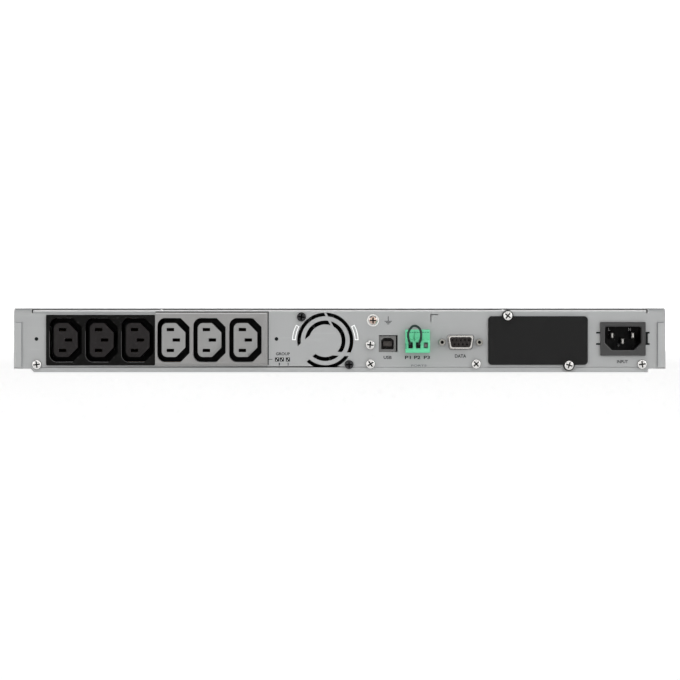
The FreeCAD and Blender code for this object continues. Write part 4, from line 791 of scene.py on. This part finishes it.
def panel_print():
    """Dark lettering and symbols on the connector panel, and painted shade round the clip holes."""
    bm = bmesh.new()
    word(bm, "GROUP", (-42.9, -33.5), (11.4, 13.4), PRINT_AND_SHADE_LAYER)
    stroke(bm, [(-48.0, 8.7), (-45.2, 8.7)], 0.35, PRINT_AND_SHADE_LAYER)
    for x in GROUP_ICONS:
        bar(bm, (x - 1.4, x + 1.4), (7.25, 9.95), PRINT_AND_SHADE_LAYER)
    word(bm, "1", (-41.0, -40.2), (4.6, 6.4), PRINT_AND_SHADE_LAYER)
    word(bm, "2", (-35.3, -34.1), (4.6, 6.4), PRINT_AND_SHADE_LAYER)
    word(bm, "USB", (29.5, 34.9), (8.9, 11.1), PRINT_AND_SHADE_LAYER)
    for text, x in (("P1", (43.8, 47.8)), ("P2", (50.0, 54.2)), ("P3", (56.5, 60.7))):
        word(bm, text, x, (8.9, 11.1), PRINT_AND_SHADE_LAYER)
    word(bm, "DATA", (77.4, 85.0), (9.8, 12.1), PRINT_AND_SHADE_LAYER)
    word(bm, "INPUT", (186.3, 193.7), (6.1, 8.2), PRINT_AND_SHADE_LAYER)
    # painted shade: dark rings widen the unlit clip holes
    for hole in CLIP_HOLES:
        stroke(bm, circle(hole, 1.12), 0.3, PRINT_AND_SHADE_LAYER, loop=True)
    middle, foot = EARTH_MARK
    bar(bm, (middle - 0.2, middle + 0.2), (foot, foot + 3.3), PRINT_AND_SHADE_LAYER)
    for half, drop in ((2.4, 0.0), (1.6, 0.9), (0.8, 1.8)):
        bar(bm, (middle - half, middle + half), (foot - drop - 0.22, foot - drop + 0.22), PRINT_AND_SHADE_LAYER)
    closed(bm, "panel_print", "dark_ink_and_shade", "chassis")
    bm = bmesh.new()
    for x in GROUP_ICONS:
        for aside, z in ((-0.45, 8.1), (0.45, 9.1)):
            dot(bm, x + aside, z, 0.25, depth(-0.09, -0.02))
    closed(bm, "group_icon_dots", "ink_white", "chassis")


def faint_print_and_shade():
    """Grey lettering, and painted shade lines where sheets and the D connector's opening meet the panel and
    along the fold over the dark outlets.
    """
    bm = bmesh.new()
    word(bm, "PORTS", (48.0, 58.4), (3.9, 5.2), PRINT_AND_SHADE_LAYER)
    # painted shade under the fold above the dark outlets
    stroke(bm, [(-206.0, 39.9), (-124.2, 39.9)], 0.28, PRINT_AND_SHADE_LAYER)
    tab = depth(-1.26, -1.1)
    # painted shadows beside the side tabs' free edges and under the cover's edge at the corners
    for side, width in ((-1, 0.3), (1, 0.42)):
        stroke(bm, [(side * TAB_X, 3.8), (side * TAB_X, 33.4), (side * TAB_END, 33.4)], width, tab)
        stroke(bm, [(side * 207.6, 42.0), (side * TAB_END, 42.0)], 0.5, PRINT_AND_SHADE_LAYER)
    # painted shade round the D connector's opening
    half = [(6.7, 15.3), (7.8, 16.3), (9.1, 23.8), (8.1, 25.1)]
    shell = [(SERIAL_X + x, z) for x, z in half] + [(SERIAL_X - x, z) for x, z in reversed(half)]
    stroke(bm, shell, 0.4, PRINT_AND_SHADE_LAYER, loop=True)
    closed(bm, "panel_faint_print", "faint_ink_and_shade", "chassis")


def gaps():
    """Unlit gaps round the grey outlets, in the clip holes and beside the mains inlet, and a painted
    highlight along the grey block's bevel.
    """
    bm = bmesh.new()
    stroke(bm, [(-123.9, 40.55), (-48.05, 40.55), (-48.05, 4.9)], 0.62, depth(-0.12, 0.03))
    for hole in CLIP_HOLES:
        prism(bm, circle(hole, 0.97), depth(0.12, 0.5))
    behind = depth(0.25, 0.6)
    for low in (18.4, 26.0):
        bar(bm, (172.35, 175.6), (low + 0.04, low + 1.16), behind)
        bar(bm, (204.8, 208.25), (low + 0.04, low + 1.16), behind)
    bar(bm, (204.8, 207.05), (19.5, 26.1), behind)
    closed(bm, "panel_gaps", "gap", "chassis")
    # painted highlight: the grey block's chamfer catching light, drawn as a pale strip
    bm = bmesh.new()
    stroke(bm, [(-123.4, 39.35), (-49.5, 39.35), (-49.5, 6.2)], 0.5, depth(-2.2, -1.1))
    closed(bm, "grey_bevel_line", "bevel", "chassis")


def airflow_marks():
    """White outlines on the two raised sectors beside the fan grille."""
    bm = bmesh.new()
    for start, end in ((1.9, 28.1), (151.9, 178.1)):
        outline = arc(FAN, 22.05, start, end, 16) + arc(FAN, 20.05, end, start, 16)
        stroke(bm, outline, 0.62, depth(-0.55, -0.42), loop=True)
    closed(bm, "airflow_outlines", "ink_white", "chassis")


def inlet_marks():
    """Moulded letters beside the pins and the lip round the cavity, both picked out with a painted highlight.
    """
    bm = bmesh.new()
    floor = depth(15.3, 15.6)
    earth_x = 188.9
    word(bm, "L", (182.0, 183.4), (27.8, 30.0), floor)
    word(bm, "N", (195.6, 197.4), (27.8, 30.0), floor)
    for half, drop in ((0.9, 0.0), (0.55, 0.5), (0.2, 1.0)):
        bar(bm, (earth_x - half, earth_x + half), (18.2 - drop, 18.45 - drop), floor)
    bar(bm, (earth_x - 0.15, earth_x + 0.15), (18.4, 19.4), floor)
    closed(bm, "inlet_letters", "bevel", "chassis")
    bm = bmesh.new()
    left, low, corner = 177.6, 14.5, 4.9
    lip = [(left, 31.0), (left, low + corner), (left + corner, low), (198.0, low)]
    stroke(bm, lip, 0.22, depth(-2.56, -2.4))
    closed(bm, "inlet_lip", "wear_and_painted_highlight", "chassis")


def outlet_rim_highlights():
    """A painted highlight where the moulded edge catches light along the low left of each outlet recess."""
    radius = 5.2
    for name, first, face in (("dark", 0, depth(-1.43, -1.3)), ("pale", 3, depth(-2.63, -2.5))):
        bm = bmesh.new()
        for i in range(3):
            x = FIRST_OUTLET_X + OUTLET_PITCH * (first + i)
            left, low = x - 10.95, OUTLET_Z - 14.9
            corner = arc((left + radius, low + radius), radius, 180, 270, 10)
            stroke(bm, [(left, OUTLET_Z + 6.0)] + corner + [(x + 4.6, low)], 0.2, face)
        closed(bm, name + "_outlet_rims", "wear_and_painted_highlight", "chassis")


def terminal_fittings():
    """Rubber boots round the wire's ends, the empty way's clamp and painted shade lines on the moulding."""
    bm = bmesh.new()
    for x in WAYS[:2]:
        bar(bm, (x - 1.38, x + 1.38), (16.28, 20.0), depth(-9.5, -4.0))
    closed(bm, "wire_boots", "deep", "terminal_plug")
    # painted shade: darker mint lines along the plug's top and left edge
    bm = bmesh.new()
    for i in range(9):
        left = 44.7 + 1.72 * i
        bar(bm, (left, left + 1.25), (26.6, 27.05), depth(-6.66, -6.5))
    bar(bm, (44.02, 44.5), (15.6, 19.4), depth(-9.06, -8.9))
    closed(bm, "plug_seams", "mint_line", "terminal_plug")
    bm = bmesh.new()
    dot(bm, WAYS[2], 18.1, 1.2, depth(-6.0, -5.2))
    closed(bm, "spare_clamp", "can", "terminal_plug")


def front_fittings():
    """Dust foam behind the air slots, and what the lit screen shows."""
    for name, x, z, body in (
        ("door_foam", (-52.0, 214.5), (6.0, 38.8), "battery_door"),
        ("bezel_foam", (-213.0, -185.4), (3.4, 14.8), "chassis"),
    ):
        bm = bmesh.new()
        bar(bm, x, z, (FRONT_MM - 5.6, FRONT_MM - 2.62))
        closed(bm, name, "foam", body)
    bm = bmesh.new()
    lit = (FRONT_MM - 2.15, FRONT_MM - 2.55)
    word(bm, "230 V", (-122.0, -140.0), (27.0, 33.0), lit)
    word(bm, "50 Hz", (-122.0, -136.5), (18.0, 22.2), lit)
    word(bm, "100", (-152.0, -160.0), (18.0, 22.2), lit)
    cell, top = (-152.0, -171.5), (27.0, 33.0)
    corners = [(cell[0], top[0]), (cell[1], top[0]), (cell[1], top[1]), (cell[0], top[1])]
    stroke(bm, corners, 0.45, lit, loop=True)
    for i in range(5):
        left = cell[1] + 1.1 + 3.65 * i
        bar(bm, (left, left + 2.7), (top[0] + 1.0, top[1] - 1.0), lit)
    closed(bm, "screen_glyphs", "glyph", "chassis")


def on_key(node):
    """A thin layer on a key's outer face, in millimetres along Y."""
    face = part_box(node)[1][1] / MM
    return (face - 0.05, face + 0.02)


def key_symbols():
    """A symbol on each key of the front face."""
    x, z = (-199.0, 26.0)
    layer = on_key("power_button")
    bm = bmesh.new()
    stroke(bm, arc((x, z), 2.3, -240, 60, 24), 0.45, layer)
    bar(bm, (x - 0.22, x + 0.22), (z + 0.4, z + 3.0), layer)
    closed(bm, "power_symbol", "ink_white", "power_button")
    shapes = (
        [(-1.6, 1.1), (0, -1.1), (1.6, 1.1)],
        [(-1.6, -1.1), (0, 1.1), (1.6, -1.1)],
        [(-1.5, 0.1), (-0.4, -1.0), (1.6, 1.2)],
        [(1.2, -1.3), (-1.0, 0.0), (1.2, 1.3)],
    )
    layer = on_key("nav_button_1")
    for i, (middle, shape) in enumerate(zip((-171.0, -155.0, -139.0, -123.0), shapes), 1):
        bm = bmesh.new()
        stroke(bm, [(middle + x, 7.0 + z) for x, z in shape], 0.4, layer)
        closed(bm, "key_symbol_%d" % i, "ink_white", "nav_button_%d" % i)


panel_print()
faint_print_and_shade()
gaps()
airflow_marks()
inlet_marks()
outlet_rim_highlights()
terminal_fittings()
front_fittings()
key_symbols()


# ---------------------------------------------------------------- bridge wire
WIRE_DIAMETER = 1.6 * MM
WAY_ONE, WAY_TWO = 47.42, 52.5
WIRE_ROUTE = [
    (WAY_ONE, -252.5, 18.1),
    (WAY_ONE - 0.1, -260.5, 18.2),
    (WAY_ONE - 1.6, -262.6, 22.4),
    (WAY_ONE - 1.9, -262.4, 26.8),
    (WAY_ONE + 0.5, -261.8, 30.6),
    (WAY_ONE + 3.0, -261.5, 31.4),
    (WAY_TWO + 0.9, -261.8, 29.8),
    (WAY_TWO + 2.1, -262.3, 26.0),
    (WAY_TWO + 1.5, -262.6, 21.8),
    (WAY_TWO + 0.1, -260.5, 18.2),
    (WAY_TWO, -252.5, 18.1),
]


def bridge_wire():
    """The loop of wire clamped in the terminal's first two ways."""
    curve = bpy.data.curves.new("bridge_wire_path", "CURVE")
    curve.dimensions = "3D"
    curve.bevel_depth = WIRE_DIAMETER / 2
    curve.bevel_resolution = 5
    curve.use_fill_caps = True
    spline = curve.splines.new("NURBS")
    spline.points.add(len(WIRE_ROUTE) - 1)
    for point, place in zip(spline.points, WIRE_ROUTE):
        point.co = (*(c * MM for c in place), 1)
    spline.order_u = 3
    spline.use_endpoint_u = True
    spline.resolution_u = 12
    obj = placed("bridge_wire_loop", curve)
    curve.materials.append(FINISHES["wire"])
    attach(obj, "terminal_plug")
    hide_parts("bridge_wire")


bridge_wire()


# ---------------------------------------------------------------- stage and lights
FLOOR_REACH = 3.2
CURVE_RADIUS = 1.6
WALL_TOP = 4.2
WALL_GLOW = 0.95
WALL_DIM = 0.06


def studio_white(name, glow, dim):
    """A lit white sweep whose wall falls off to dim beyond the connector side."""
    f = Finish(name, Specular_IOR_Level=0.1)
    tone = f.noise(0.4, 2.0)
    base = f.mix(tone, (0.86, 0.86, 0.86), (0.9, 0.9, 0.9))
    wall = f.axis("Z").above(0.35, 0.4) * (1 - f.axis("Y").above(REAR - VIEW_DISTANCE, 0.6))
    lit = f.mix(wall, (1.0, 1.0, 1.0), (dim, dim, dim))
    return f.feed(Base_Color=base, Emission_Color=lit, Emission_Strength=glow, Roughness=0.9).material


def sweep():
    """A floor that curves up into a backdrop on every side of the object."""
    bm = bmesh.new()
    profile = [(FLOOR_REACH, 0.0)]
    for angle in range(10, 91, 10):
        a = math.radians(angle)
        profile.append((FLOOR_REACH + CURVE_RADIUS * math.sin(a), CURVE_RADIUS - CURVE_RADIUS * math.cos(a)))
    profile.append((FLOOR_REACH + CURVE_RADIUS, WALL_TOP))
    turned(bm, profile, 48, lambda radius, z, a: (radius * math.cos(a), radius * math.sin(a), z))
    mesh = mesh_of(bm, "studio_sweep")
    mesh.shade_smooth()
    mesh.materials.append(studio_white("studio_white", WALL_GLOW, WALL_DIM))
    placed("studio_sweep", mesh)


def soft_light(name, place, aim, size, power, colour=(1, 1, 1)):
    """A rectangular soft box turned to what it lights."""
    data = bpy.data.lights.new(name, "AREA")
    data.shape = "RECTANGLE"
    data.size, data.size_y = size
    data.energy = power
    data.color = colour
    obj = placed(name, data)
    obj.location = place
    obj.rotation_euler = (Vector(aim) - Vector(place)).to_track_quat("-Z", "Y").to_euler()


sweep()
soft_light("overhead_light", (0.1, -0.9, 1.5), (0, -0.1, 0), (1.6, 0.9), 10.6)
soft_light("camera_left_light", (-1.5, -2.1, 0.8), (0, -0.25, 0.02), (0.8, 0.8), 4.7, (1.0, 0.985, 0.96))
soft_light("camera_right_light", (1.6, -2.0, 0.9), (0, -0.25, 0.02), (0.9, 0.9), 9.8, (0.97, 0.985, 1.0))
soft_light("front_light", (0.6, 2.2, 1.2), (0, 0.2, 0.02), (1.6, 1.2), 12.0)

world = bpy.data.worlds.new("studio")
world.use_nodes = True
world.node_tree.nodes["Background"].inputs["Color"].default_value = (0.5, 0.5, 0.5, 1)
world.node_tree.nodes["Background"].inputs["Strength"].default_value = 0.2
bpy.context.scene.world = world
